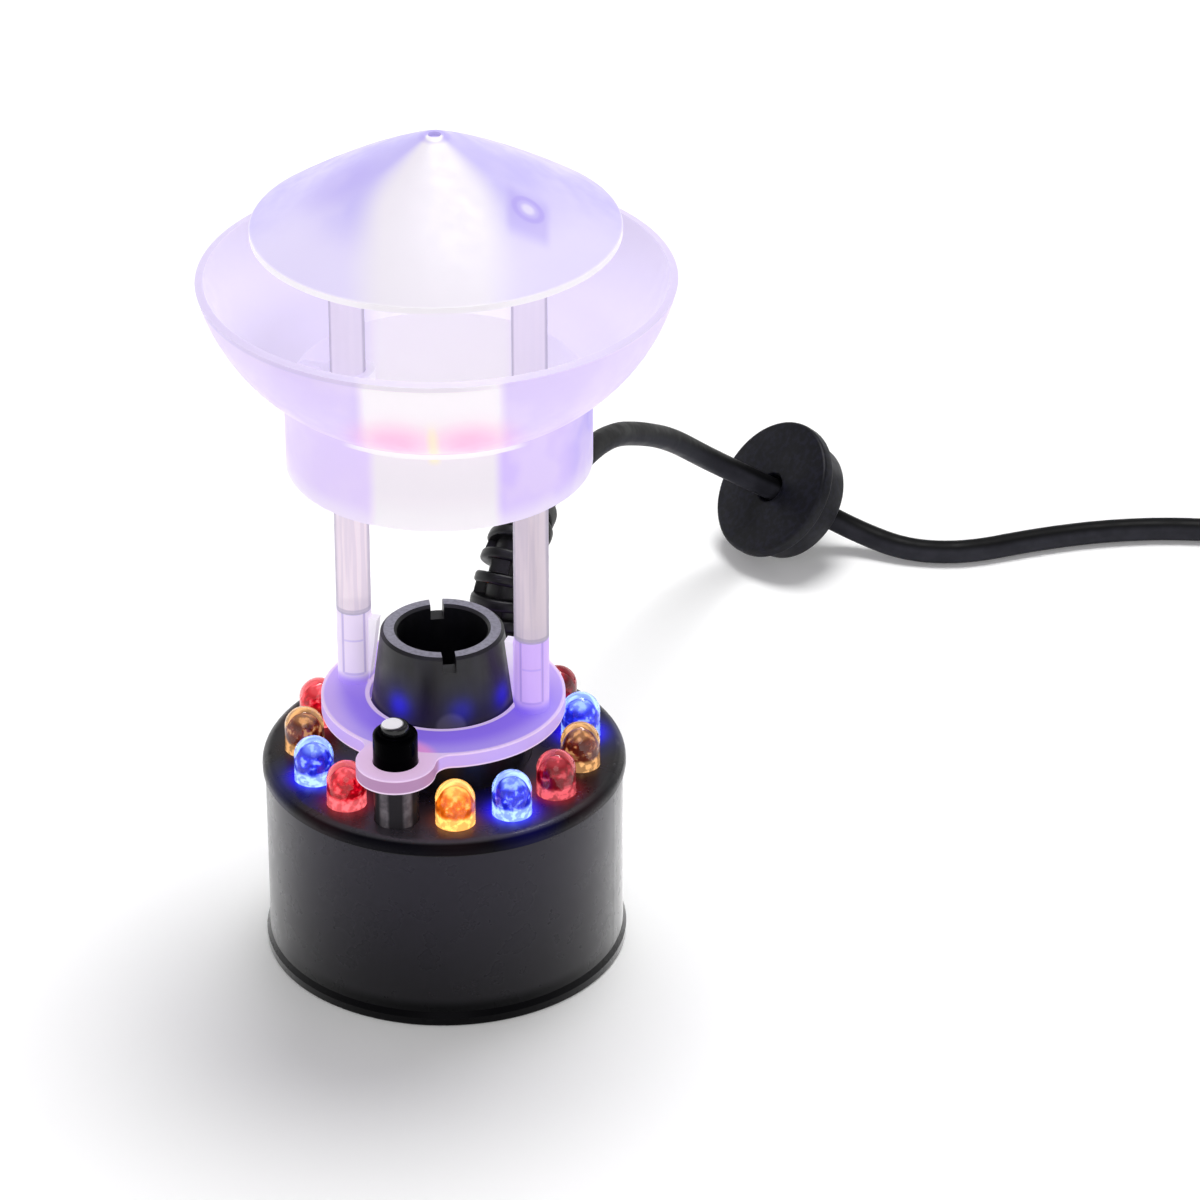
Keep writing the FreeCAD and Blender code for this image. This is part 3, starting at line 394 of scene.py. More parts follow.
cordPoints = cordPlan["lead"] + coilPoints(cordPlan) + cordPlan["tail"]
cordCurve = bpy.data.curves.new("powerCord", "CURVE")
cordCurve.dimensions = "3D"
cordCurve.bevel_depth = cordPlan["radius"] * mm
cordCurve.bevel_resolution = 5
cordCurve.resolution_u = 6
cordCurve.use_fill_caps = True
line = cordCurve.splines.new("NURBS")
line.points.add(len(cordPoints) - 1)
for dot, where in zip(line.points, cordPoints):
    dot.co = (*(Vector(where) * mm), 1)
line.order_u = 3
line.use_endpoint_u = True
cordCurve.materials.append(cordBlack)
powerCord = bpy.data.objects.new("powerCord", cordCurve)
bpy.context.scene.collection.objects.link(powerCord)
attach(powerCord, "base")
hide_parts("cord", "cord_coil", "cord_tail")
print("cord ready")

# ribbed boot where the cord leaves the cover, in mm and degrees
boot = {
    "foot": (0.35, 18, 27), "heading": (0.07498, 0.99719, 0),
    "lean": 20, "straight": 10.5, "bend": 12, "end": 89, "sides": 64,
    "core": 2.6, "coreStart": 0.8, "coreShort": 0.9, "coreRings": 25, "coreSides": 40,
    "ribs": 8, "ribStart": 2.6, "ribGap": 0.9, "ribThick": 1.5, "ribFirst": 4.75, "ribLast": 3.9,
    "ribTaper": 0.12, "ribRound": 0.45, "ribInner": 2.0,
    "webWidth": 38, "webSides": 8, "webHalf": 0.9, "webBelow": 0.35, "webTaper": 0.15,
    "footRadius": 4.75, "footThick": 1.3, "footCone": 1.9, "footRound": 0.4, "seam": 0.02,
    "cap": 3.2, "capRadius": 3.5, "capInner": 1.7, "capFootRound": 0.35, "capRound": 0.5,
}
bootLength = boot["straight"] + boot["bend"] * math.radians(boot["end"] - boot["lean"])


def bootPlace(distance):
    # where the boot's middle line is, and which way it points, after this many mm
    heading = Vector(boot["heading"])
    turn = math.radians(boot["lean"])
    rise = heading * math.sin(turn) + up * math.cos(turn)
    start = Vector(boot["foot"]) + rise * min(distance, boot["straight"])
    if distance > boot["straight"]:
        further = turn + (distance - boot["straight"]) / boot["bend"]
        start += heading * boot["bend"] * (math.cos(turn) - math.cos(further))
        start += up * boot["bend"] * (math.sin(further) - math.sin(turn))
        turn = further
    return start, heading * math.sin(turn) + up * math.cos(turn)


def bootFrame(distance):
    start, direction = bootPlace(distance)
    side = Vector((boot["heading"][1], -boot["heading"][0], 0))
    across = direction.cross(side)
    return Matrix((
        (side.x, across.x, direction.x, start.x),
        (side.y, across.y, direction.y, start.y),
        (side.z, across.z, direction.z, start.z),
        (0, 0, 0, 1),
    ))


def bootCore():
    core = bmesh.new()
    ring = bmesh.ops.create_circle(core, segments=boot["coreSides"], radius=boot["core"])["verts"]
    places = [bootFrame(boot["coreStart"] + (bootLength - boot["coreShort"]) * step / (boot["coreRings"] - 1))
              for step in range(boot["coreRings"])]
    bmesh.ops.transform(core, matrix=places[0], verts=ring)
    loop = core.edges[:]
    for before, after in zip(places, places[1:]):
        made = bmesh.ops.extrude_edge_only(core, edges=loop)["geom"]
        dots = [item for item in made if isinstance(item, bmesh.types.BMVert)]
        edges = [item for item in made if isinstance(item, bmesh.types.BMEdge)]
        loop = [edge for edge in edges if all(dot in dots for dot in edge.verts)]
        bmesh.ops.transform(core, matrix=after @ before.inverted(), verts=dots)
    bmesh.ops.holes_fill(core, edges=[edge for edge in core.edges if edge.is_boundary], sides=0)
    bmesh.ops.recalc_face_normals(core, faces=core.faces)
    return core


def bootBand(low, high, lowRadius, highRadius, lowRound=0.0, highRound=0.0, inner=boot["ribInner"]):
    # outline of a band round the core, as turned wants it
    return [(inner, low, 0), (lowRadius, low, lowRound), (highRadius, high, highRound), (inner, high, 0)]


def bootShape():
    seam, half, corner, outer = boot["seam"], boot["ribThick"] / 2, boot["ribRound"], boot["footRadius"]
    foot = bootBand(seam, boot["footThick"], outer, outer, highRound=boot["footRound"])
    foot[-1] = (boot["ribInner"], boot["footCone"], 0)
    shapes = [bootCore(), moved(turned(foot, boot["sides"]), bootFrame(0))]
    gap = (bootLength - boot["cap"] - boot["ribGap"] - boot["ribStart"]) / (boot["ribs"] - 1)
    for index in range(boot["ribs"]):
        radius = boot["ribFirst"] + (boot["ribLast"] - boot["ribFirst"]) * index / (boot["ribs"] - 1)
        middleLine = boot["ribStart"] + gap * index
        rib = bootBand(-half, half, radius, radius - boot["ribTaper"], corner, corner)
        shapes.append(moved(turned(rib, boot["sides"]), bootFrame(middleLine)))
        if index + 1 == boot["ribs"]:
            break
        # two bridges to the next rib, turned a quarter from one gap to the next
        outer = radius - boot["webBelow"]
        for side in range(2):
            web = bootBand(-boot["webHalf"], boot["webHalf"], outer, outer - boot["webTaper"])
            start = 90 * ((index + 1) % 2) + 180 * side - boot["webWidth"] / 2
            bridge = turned(web, boot["webSides"], sweep=math.radians(boot["webWidth"]))
            bridge = moved(bridge, Matrix.Rotation(math.radians(start), 4, "Z"))
            shapes.append(moved(bridge, bootFrame(middleLine + gap / 2)))
    tip = bootBand(-boot["cap"], -seam, boot["capRadius"], boot["capRadius"] - boot["capRound"],
                   boot["capFootRound"], boot["capRound"], boot["capInner"])
    shapes.append(moved(turned(tip, boot["sides"]), bootFrame(bootLength)))
    return joined(shapes)


bootBlack, tree, surface = mouldedPlastic("bootRubber", rgb(8, 7, 11), 0.38, grain=0.3, depth=0.012)
surface.inputs["Specular IOR Level"].default_value = 0.35
bootPiece = addPiece("cordBoot", bootShape(), bootBlack, "base", 45)
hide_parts("cable_boot")
print("boot ready")

# rubber grommet slid along the cord, in mm
grommet = {
    "middle": (13.0, 109.15, 9.15), "axis": (0.5013, 0.5915, -0.6316), "front": -3.25,
    "outline": [
        (2.05, 0.0, 0.45), (10.15, 0.0, 0.55), (10.15, 2.15, 0.55), (9.25, 2.2, 0.15), (9.25, 2.5, 0.15),
        (9.0, 4.2, 0.3), (8.6, 6.45, 0.5), (3.2, 6.45, 0.3), (2.05, 5.2, 0.2),
    ],
}
grommetRubber, tree, surface = mouldedPlastic("grommetRubber", rgb(9, 9, 17), 0.5, grain=0.3, depth=0.01)
surface.inputs["Specular IOR Level"].default_value = 0.22
worn = remap(tree, noise(tree, 0.8, 5), 0.42, 0.66, 0, 1)
setInput(tree, surface, "Base Color", blendColour(tree, worn, rgb(5, 5, 14), rgb(17, 17, 31)))
axis = Vector(grommet["axis"]).normalized()
face = Vector(grommet["middle"]) + axis * grommet["front"]
grommetShape = moved(turned(grommet["outline"]), facing(face, axis))
grommetPiece = addPiece("cordGrommet", grommetShape, grommetRubber, "base")
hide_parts("cord_grommet")
print("grommet ready")

# base: shell, cover and seams, with the heights and distances at which the look changes, in mm
base = {
    "aboveRim": (2.4, 4.0), "rising": (2, 24), "coverEdge": (22.4, 22.75), "paintedFrontReflection": (10.36, 19.56),
    "lampHeight": 27, "lampSpill": (2.0, 7.5),
}
shellPlastic, tree, surface = mouldedPlastic("shellPlastic", rgb(14, 13, 17), 0.3, grain=0.22, depth=0.0012)
surface.inputs["Specular IOR Level"].default_value = 0.32
surface.inputs["Sheen Weight"].default_value = 1.0
surface.inputs["Sheen Roughness"].default_value = 0.36
# painted shade: the lip below the rim reflects almost no light
aboveRim = remap(tree, along(tree, up), *base["aboveRim"], 0.1, 1)
setInput(tree, surface, "Specular Tint", blendColour(tree, aboveRim, (0, 0, 0), (0.94, 0.9, 1.0)))
# painted shade: the wall darker towards its foot
rising = remap(tree, along(tree, up), *base["rising"], 0, 1)
setInput(tree, surface, "Base Color", blendColour(tree, rising, rgb(3, 3, 5), rgb(24, 22, 34)))
dress(shellPlastic, "housing_shell", "bottom_plate")

lampColours = {
    "led_1": "amber", "led_2": "blue", "led_3": "crimson", "led_4": "brown",
    "led_5": "blue", "led_6": "darkRed", "led_7": "red", "led_8": "blue",
    "led_9": "brown", "led_10": "red", "led_11": "blue", "led_12": "amber",
}
# tint of the lens, glow of its hot foot and light spilled on what is near, then how strongly it glows and
# throws light, how dark its darkest spots are and how clear the lens is
lampLook = {
    "amber": {
        "tint": rgb(255, 140, 20), "glow": rgb(255, 225, 130), "spill": rgb(200, 80, 10),
        "power": 0.75, "throw": 0.15, "dark": 0.45, "clear": 0.4, "slot": "amber_light",
    },
    "blue": {
        "tint": rgb(52, 66, 246), "glow": rgb(190, 228, 255), "spill": rgb(24, 8, 255),
        "power": 0.75, "throw": 1.0, "dark": 0.25, "clear": 0.5, "slot": "blue_light",
    },
    "red": {
        "tint": rgb(226, 10, 52), "glow": rgb(255, 160, 165), "spill": rgb(220, 0, 40),
        "power": 0.6, "throw": 0.22, "dark": 0.25, "clear": 0.24, "slot": "red_light",
    },
    "crimson": {
        "tint": rgb(186, 6, 48), "glow": rgb(255, 140, 150), "spill": rgb(220, 0, 40),
        "power": 0.5, "throw": 0.22, "dark": 0.1, "clear": 0.24, "slot": "red_light",
    },
    "darkRed": {
        "tint": rgb(140, 6, 32), "glow": rgb(230, 70, 90), "spill": rgb(160, 0, 20),
        "power": 0.35, "throw": 0.1, "dark": 0.08, "clear": 0.35, "slot": "dark_red_light",
    },
    "brown": {
        "tint": rgb(126, 46, 26), "glow": rgb(255, 198, 130), "spill": rgb(120, 50, 10),
        "power": 0.5, "throw": 0.08, "dark": 0.02, "clear": 0.72, "slot": "brown_light",
    },
}
lampSpots = [
    (middle(name), lampLook[kind]["spill"], lampLook[kind]["throw"]) for name, kind in lampColours.items()]

coverPlastic, tree, surface = mouldedPlastic("coverPlastic", rgb(14, 13, 20), 0.3, grain=0.22, depth=0.004)
insideRim = remap(tree, awayFromAxis(tree), *base["coverEdge"], 1, 0)
setInput(tree, surface, "Specular Tint", blendColour(tree, insideRim, (0.05, 0.05, 0.05), (1, 1, 1)))
# painted reflection: the cover lighter towards the front, inside the rim
paintedFrontReflection = both(tree, remap(tree, along(tree, viewFront), *base["paintedFrontReflection"], 0, 1), insideRim)
setInput(tree, surface, "Base Color", blendColour(tree, paintedFrontReflection, rgb(12, 11, 18), rgb(58, 56, 62)))
addLights(tree, surface, lampSpots, *base["lampSpill"], 1.0, base["lampHeight"])
dress(coverPlastic, "top_cover")


def dressPlain(looks):
    # for each material its colour, roughness, grain and depth in mm, how metallic it is, and what it is on
    for name, (colour, roughness, grain, depth, metallic, *nodeNames) in looks.items():
        plain, tree, surface = mouldedPlastic(name, rgb(*colour), roughness, grain, depth, Metallic=metallic)
        dress(plain, *nodeNames)


dressPlain({"sealRubber": ((10, 10, 12), 0.6, 0.2, 0.01, 0, "cover_seal", "bottom_gasket", "disc_seal")})
print("base ready")

# inside the base
dressPlain({
    "boardGreen": ((30, 92, 52), 0.45, 0.8, 0.02, 0, "circuit_board", "led_board"),
    "leadCopper": ((190, 110, 70), 0.3, 0.15, 0.01, 1, "choke_coil", "contact_spring"),
    "leadTin": ((180, 180, 185), 0.3, 0.15, 0.01, 1, "led_leads", "sensor_leads"),
    "screwSteel": ((165, 165, 170), 0.35, 0.2, 0.01, 1, "bottom_screws"),
    "sinkMetal": ((150, 152, 156), 0.45, 0.3, 0.02, 1, "heat_sink"),
    "canSleeve": ((30, 40, 70), 0.4, 0.3, 0.01, 0, "capacitors"),
    "chipBlack": ((28, 28, 30), 0.5, 0.3, 0.015, 0, "power_transistor"),
    "wireSleeve": ((160, 30, 30), 0.45, 0.3, 0.01, 0, "power_leads", "disc_lead"),
    "discSilver": ((190, 188, 182), 0.3, 0.2, 0.008, 1, "piezo_disc"),
})
print("inside ready")

# water level sensor, gloss black with a painted reflection on its foot, in mm
sensor = {
    "middle": middle("sensor_body"), "foot": (33.0, 33.6), "flankShine": (1.2, 1.7), "flankSoft": 0.5,
    "tip": middle("sensor_tip"), "tipTop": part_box("sensor_tip")[1][2] / mm,
    "tipLeft": 0.35, "tipShine": (1.15, 1.5),
}
sensorGloss, tree, surface = mouldedPlastic("sensorGloss", rgb(4, 4, 6), 0.12, grain=0.6, depth=0.002)
surface.inputs["Specular IOR Level"].default_value = 0.015
# painted reflection on the foot: grey, lighter in a noisy streak at each flank as seen; the body above has
# its reflection dimmed
foot = remap(tree, along(tree, up), *sensor["foot"], 1, 0)
flankShine = calc(tree, "SUBTRACT", along(tree, viewRight), sensor["middle"].dot(viewRight))
flankShine = band(tree, calc(tree, "ABSOLUTE", flankShine), *sensor["flankShine"], sensor["flankSoft"])
flankShine = both(tree, flankShine, remap(tree, noise(tree, 1.1), 0.35, 0.65, 0.5, 1))
footReflection = blendColour(tree, flankShine, rgb(48, 46, 50), rgb(124, 118, 124))
setInput(tree, surface, "Base Color", blendColour(tree, foot, rgb(2, 2, 3), footReflection))
setInput(tree, surface, "Specular Tint", blendColour(tree, foot, (0.2, 0.2, 0.24), (1, 1, 1)))
dress(sensorGloss, "sensor_body")

sensorSteel, tree, surface = mouldedPlastic("sensorSteel", rgb(20, 20, 22), 0.16, grain=0.3, depth=0.002)
# painted highlight: a white spot left of the tip's middle, glowing a little
tipPoint = sensor["tip"] - viewRight * sensor["tipLeft"]
tipHighlight = remap(tree, distanceTo(tree, (tipPoint.x, tipPoint.y, sensor["tipTop"])), *sensor["tipShine"], 1, 0)
setInput(tree, surface, "Base Color", blendColour(tree, tipHighlight, rgb(20, 20, 22), rgb(250, 250, 250)))
setInput(tree, surface, "Emission Color", blendColour(tree, tipHighlight, (0, 0, 0), (0.3, 0.3, 0.3)))
surface.inputs["Emission Strength"].default_value = 1.0
dress(sensorSteel, "sensor_tip")

# nozzle collar and its washer, in mm; the blue lamps' light is painted on its side as a glow
collar = {
    "lights": {"led_8": 0.6, "led_2": 0.25, "led_5": 0.5}, "lightTurn": 1.3, "lightAway": 8.9,
    "lightHeight": 37.4, "lightSpill": (0.2, 5.4),
    "topTurn": (0.75, 0.95), "top": (43.9, 44.3), "bore": (5.8, 6.1),
    "arch": viewFront * 8.87 + viewRight * 1.2 + up * 35.2, "archReach": (1.5, 2.2),
}
collarSpots = []
for name, share in collar["lights"].items():
    outward = Vector((middle(name).x, middle(name).y, 0)).normalized()
    towards = (outward * collar["lightTurn"] + viewFront).normalized()
    collarSpots.append((towards * collar["lightAway"], lampLook["blue"]["spill"], share))
collarPlastic, tree, surface = mouldedPlastic("collarPlastic", rgb(30, 29, 35), 0.42, grain=0.2, depth=0.008)
# painted light: the flat top face much lighter, as lit from above, varied by noise
paintedTopLight = remap(tree, facingShare(tree, up), *collar["topTurn"], 0, 1)
paintedTopLight = both(tree, paintedTopLight, remap(tree, along(tree, up), *collar["top"], 0, 1))
topLightNoise = remap(tree, noise(tree, 0.5, 3), 0.35, 0.65, 0.75, 1.1)
streaks = remap(tree, noise(tree, 2.2, 2, (1, 1, 0.08)), 0.35, 0.65, 0, 0.6)
colour = layered(
    tree, rgb(7, 6, 12),
    (streaks, rgb(27, 26, 38)),
    # painted shade: dark inside the bore
    (remap(tree, awayFromAxis(tree), *collar["bore"], 0.8, 0), rgb(8, 8, 12)),
    (both(tree, paintedTopLight, topLightNoise), rgb(166, 166, 176)),
    (remap(tree, distanceTo(tree, collar["arch"]), *collar["archReach"], 0.6, 0), rgb(92, 88, 98)),
)
setInput(tree, surface, "Base Color", colour)
addLights(tree, surface, collarSpots, *collar["lightSpill"], 0.9, collar["lightHeight"])
dress(collarPlastic, "nozzle_collar")
dressPlain({"washerPlastic": ((60, 60, 66), 0.5, 0.2, 0.01, 0, "slip_washer")})
print("collar ready")

# lamps round the nozzle: the clear lens is a CAD node, and the glowing body inside it is added, in mm
lampBody = {
    "outline": [
        (0.0, 25.3, 0), (2.2, 25.3, 0), (2.2, 25.6, 0.12), (1.5, 26.1, 0.2), (1.5, 29.4, 0.3),
        (1.2, 30.6, 0.4), (0.0, 31.4, 0),
    ],
    "sides": 32, "grain": 0.8,
    "hot": (27.9, 28.5), "waist": (28.7, 29.0), "waistSoft": 0.3, "tip": (30.5, 31.0),
}
lensOf, coreOf = {}, {}
for kind, look in lampLook.items():
    lensTint = tuple(level + (1 - level) * look["clear"] for level in look["tint"])
    lensOf[kind], tree, surface = newMaterial(kind + "Lens", lensTint, 0.03)
    surface.inputs["Transmission Weight"].default_value = 1.0
    surface.inputs["IOR"].default_value = 1.5
    setInput(tree, surface, "Roughness", remap(tree, noise(tree, 1.5), 0.3, 0.7, 0.0, 0.03))
    bump(tree, surface, noise(tree, 1.2, 1), 0.004)
    coreOf[kind], tree, surface = newMaterial(kind + "Glow", look["tint"], 0.3)
    surface.inputs["Specular IOR Level"].default_value = 0.2
    height = along(tree, up)
    hot = remap(tree, height, *lampBody["hot"], 1, 0)
    waist = band(tree, height, *lampBody["waist"], lampBody["waistSoft"])
    # painted highlight: the core's top glows lighter, standing for the shine on the dome's top
    tip = remap(tree, height, *lampBody["tip"], 0, 0.7)
    grainy = noise(tree, lampBody["grain"], 4)
    hotter = either(tree, hot, tip, remap(tree, grainy, 0.55, 0.64, 0, 0.7))
    setInput(tree, surface, "Emission Color", blendColour(tree, hotter, look["tint"], look["glow"]))
    mottle = remap(tree, grainy, 0.44, 0.58, look["dark"], 1.5)
    level = calc(tree, "ADD", mottle, both(tree, either(tree, hot, tip), 0.9))
    level = both(tree, level, remap(tree, waist, 0, 1, 1, 0.35), look["power"])
    setInput(tree, surface, "Emission Strength", level)
for name, kind in lampColours.items():
    dress(lensOf[kind], name)
    centre = middle(name)
    core = turned(lampBody["outline"], lampBody["sides"], closed=False)
    core = moved(core, Matrix.Translation((centre.x, centre.y, 0)))
    addPiece(name.replace("led", "glow"), core, coreOf[kind], "base")
print("lamps ready")

# frosted splash guard: the colours of its pieces, with the lamps' light and painted shade and highlights in
# them, and of what shows through them
frosted = {
    "ring": rgb(146, 116, 243), "ringBack": rgb(214, 184, 250), "ringOuter": rgb(178, 154, 249),
    "ringSide": rgb(206, 178, 250), "ringHighlight": rgb(252, 228, 255),
    "eyelet": rgb(242, 158, 226), "eyeletSide": rgb(178, 132, 170),
    "stub": rgb(240, 226, 252), "stubRight": rgb(214, 182, 254), "stubLine": rgb(128, 108, 196),
    "post": rgb(234, 221, 230), "postStreak": rgb(214, 203, 218), "postHigh": rgb(238, 231, 246),
    "postLine": rgb(168, 162, 184),
    "throat": rgb(228, 210, 254), "throatRight": rgb(216, 195, 255), "throatLight": rgb(235, 219, 253),
    "throatPale": rgb(238, 232, 240),
    "flare": rgb(225, 208, 253), "flareFar": rgb(234, 220, 254), "flarePale": rgb(250, 244, 250),
    "pink": rgb(255, 182, 224), "yellow": rgb(255, 240, 196), "junction": rgb(240, 200, 226),
    "bowlLine": rgb(196, 186, 206), "bowlTop": rgb(200, 186, 226),
    "insideSide": rgb(236, 228, 250), "insidePale": rgb(243, 238, 244),
    "cap": rgb(203, 193, 250), "capLow": rgb(231, 222, 255), "capPale": rgb(249, 243, 254),
    "capDark": rgb(184, 168, 244), "white": rgb(254, 250, 255),
}
postApart = middle("guard_post_right").x
postSide = postApart * viewRight.x


def frostedPlastic(name):
    material, tree, surface = newMaterial(name, (0.8, 0.8, 0.8), 0.4)
    surface.inputs["Subsurface Weight"].default_value = 0.2
    surface.inputs["Subsurface Radius"].default_value = (1.0, 0.8, 1.0)
    surface.inputs["Subsurface Scale"].default_value = 1.5 * mm
    surface.inputs["Specular IOR Level"].default_value = 0.35
    setInput(tree, surface, "Roughness", remap(tree, noise(tree, 2), 0.3, 0.7, 0.34, 0.48))
    bump(tree, surface, noise(tree, 0.25, 2), 0.004)
    return material, tree, surface


def glowing(tree, surface, colour, share, glow):
    # milky plastic lit through: part of its colour comes back from the light, part from inside
    setInput(tree, surface, "Base Color", blendColour(tree, 1.0, colour, (share, share, share), "MULTIPLY"))
    setInput(tree, surface, "Emission Color", colour)
    if isinstance(glow, bpy.types.NodeSocket):
        setInput(tree, surface, "Emission Strength", glow)
    else:
        surface.inputs["Emission Strength"].default_value = glow


def fromPosts(tree):
    # distance from the nearer post's middle line, as the camera sees it
    across = calc(tree, "ABSOLUTE", along(tree, viewRight))
    return calc(tree, "ABSOLUTE", calc(tree, "SUBTRACT", across, postSide))


# ring plate with its eyelet: distances from the axis, to the front and right, from the eyelet, then heights
ring = {
    "outer": (11.5, 14.8), "leftOuter": (11, 14.5), "side": (13, 15), "rim": (14.9, 15.2),
    "hole": (9.2, 9.75), "back": (-8, 4), "left": (-15, -8),
    "eyelet": (4.2, 6.0), "eyeletSide": (5.0, 5.6), "eyeletHole": (3.0, 3.5), "eyeletHeight": 34.5,
    "underside": (33.4, 33.6), "top": (35.0, 35.2), "belowTop": (35.1, 35.25), "rimLine": (35.1, 36),
    "linesEnd": (36.0, 35.5),
}
ringPlastic, tree, surface = frostedPlastic("guardRingPlastic")
height, side, ahead = (along(tree, direction) for direction in (up, viewRight, viewFront))
away = awayFromAxis(tree)
eyelet = distanceTo(tree, (sensor["middle"].x, sensor["middle"].y, ring["eyeletHeight"]))
# painted light: the plate lighter towards the back and the left
back = remap(tree, ahead, *ring["back"], 0.8, 0)
left = both(tree, remap(tree, side, *ring["left"], 0.7, 0), remap(tree, away, *ring["leftOuter"], 0.2, 1))
belowTop = remap(tree, height, *ring["belowTop"], 1, 0)
atTop = remap(tree, height, *ring["top"], 0, 0.7)
# painted highlights along the edges: round the rim, at the underside, round the hole and round the eyelet's
# hole
edgeHighlights = either(
    tree,
    both(tree, remap(tree, away, *ring["rim"], 0, 0.7), band(tree, height, *ring["rimLine"], 0.12)),
    remap(tree, height, *ring["underside"], 0.85, 0),
    both(tree, band(tree, away, *ring["hole"], 0.2), atTop),
    both(tree, band(tree, eyelet, *ring["eyeletHole"], 0.15), atTop),
)
# violet of the blue lamps' light painted in; painted light on the side faces and painted shade on the
# eyelet's side
ringColour = layered(
    tree, frosted["ring"],
    (remap(tree, away, *ring["outer"], 0, 1), frosted["ringOuter"]),
    (either(tree, back, left), frosted["ringBack"]),
    (remap(tree, eyelet, *ring["eyelet"], 0.85, 0), frosted["eyelet"]),
    (both(tree, belowTop, remap(tree, away, *ring["side"], 0, 1)), frosted["ringSide"]),
    (both(tree, belowTop, remap(tree, eyelet, *ring["eyeletSide"], 0.9, 0)), frosted["eyeletSide"]),
    (both(tree, edgeHighlights, remap(tree, height, *ring["linesEnd"], 0, 1)), frosted["ringHighlight"]),
)

# stubs that stand on the ring: distances from their middle lines as seen and from their axes, then to the
# right, then heights
stub = {
    "middle": (1.1, 1.5), "flanks": (1.3, 1.42), "fin": (2.2, 2.4), "right": (-2, 2),
    "start": (35.6, 37.2), "foot": (36.75, 36.95), "long": (37.0, 45.4), "finRise": (38, 44),
    "spigot": (41.6, 41.75), "top": (45.35, 45.5),
}
apart = fromPosts(tree)
stubMiddle = remap(tree, apart, *stub["middle"], 1, 0)
# dark lines: painted shade along both flanks, and the joints at the foot and at the spigot's end seen through
stubLines = either(
    tree,
    both(tree, band(tree, apart, *stub["flanks"], 0.15), band(tree, height, *stub["long"], 0.3)),
    both(tree, band(tree, height, *stub["foot"], 0.15), stubMiddle, 0.8),
    both(tree, band(tree, height, *stub["spigot"], 0.12), stubMiddle, 0.6),
)
beyond = calc(tree, "MINIMUM", distanceFromLine(tree, -postApart, 0), distanceFromLine(tree, postApart, 0))
fin = both(tree, remap(tree, beyond, *stub["fin"], 0, 1), remap(tree, height, *stub["finRise"], 0.2, 0.85))
# painted shade: the right side more violet and darker
stubColour = layered(
    tree, frosted["stub"],
    (remap(tree, side, *stub["right"], 0, 1), frosted["stubRight"]),
    (both(tree, stubLines, 0.42), frosted["stubLine"]),
    (fin, frosted["white"]),
    (remap(tree, height, *stub["top"], 0, 0.7), frosted["postLine"]),
)
colour = blendColour(tree, remap(tree, height, *stub["start"], 0, 1), ringColour, stubColour)
glowing(tree, surface, colour, 0.62, 0.5)
dress(ringPlastic, "guard_ring")

# posts: streaks along them, the whiter upper half, painted shade along their edges, and more light on the
# left one
post = {
    "streak": 0.7, "streakStretch": (1, 1, 0.04), "upper": (62, 78),
    "flanks": (1.75, 2.05), "foot": (46.0, 46.25), "left": (-3, 3), "glow": (62, 76),
}
postPlastic, tree, surface = frostedPlastic("guardPostPlastic")
surface.inputs["Transmission Weight"].default_value = 0.35
surface.inputs["IOR"].default_value = 1.3
height = along(tree, up)
streaks = noise(tree, post["streak"], 2, post["streakStretch"])
colour = layered(
    tree, frosted["post"],
    (remap(tree, streaks, 0.4, 0.6, 0, 0.7), frosted["postStreak"]),
    (remap(tree, height, *post["upper"], 0, 0.85), frosted["postHigh"]),
    (remap(tree, fromPosts(tree), *post["flanks"], 0, 0.75), frosted["postLine"]),
    (remap(tree, height, *post["foot"], 0.6, 0), frosted["postLine"]),
)
leftGlow = remap(tree, along(tree, viewRight), *post["left"], 0.17, 0)
leftGlow = both(tree, leftGlow, remap(tree, height, *post["glow"], 1, 0))
glow = calc(tree, "ADD", leftGlow, remap(tree, height, *post["glow"], 0.33, 0.38))
glowing(tree, surface, colour, 0.65, glow)
dress(postPlastic, "guard_post_left", "guard_post_right")

# bowl: its throat, the flare above, the pale band in front and the lamps' light in it; heights first
bowl = {
    "foot": (68.7, 71.5), "throatWhite": (69, 74), "arc": (78.65, 79.0), "flare": (79.0, 79.6),
    "crease": (79.5, 79.75), "insideRise": (79, 83), "lipTop": (92.5, 92.9), "lip": (92.9, 93.4),
    "right": (-6, 6), "rightEdge": (15.0, 18.4), "farFlare": (15, 25), "lipRight": (2, 12),
    "throatBand": (6.8, 8.4), "flareBand": (7.4, 9.2), "insideBand": (7.5, 10), "nearBand": (9, 11.5),
    "front": (-3, 3), "outerFront": (-6, 10), "insideTurn": (0.55, 0.3), "lipTurn": (0.8, 0.9),
    "spark": (0.1, 1.1), "sparkFoot": (77.4, 78.6), "sparkTop": (84, 89),
    "blushSide": 4.4, "blushHeight": 82.8, "blushWide": 0.75, "blushHigh": 0.85, "blush": (0.3, 6.0),
}
bowlPlastic, tree, surface = frostedPlastic("guardBowlPlastic")
height, side, ahead = (along(tree, direction) for direction in (up, viewRight, viewFront))
apart = calc(tree, "ABSOLUTE", side)
inside = remap(tree, facingShare(tree), *bowl["insideTurn"], 0, 1)
front = remap(tree, ahead, *bowl["front"], 0, 1)
flare = remap(tree, height, *bowl["flare"], 0, 1)
pale = blendColour(tree, flare, frosted["throatPale"], frosted["flarePale"])
pale = blendColour(tree, remap(tree, height, *bowl["throatWhite"], 0.5, 0), pale, frosted["white"])
paleBand = blendColour(
    tree, flare, remap(tree, apart, *bowl["throatBand"], 1, 0), remap(tree, apart, *bowl["flareBand"], 1, 0))
paleBand = both(tree, paleBand, either(tree, inside, remap(tree, ahead, *bowl["outerFront"], 0, 1)))
blushPlace = {0: both(tree, apart, bowl["blushWide"]), 1: both(tree, height, bowl["blushHigh"])}
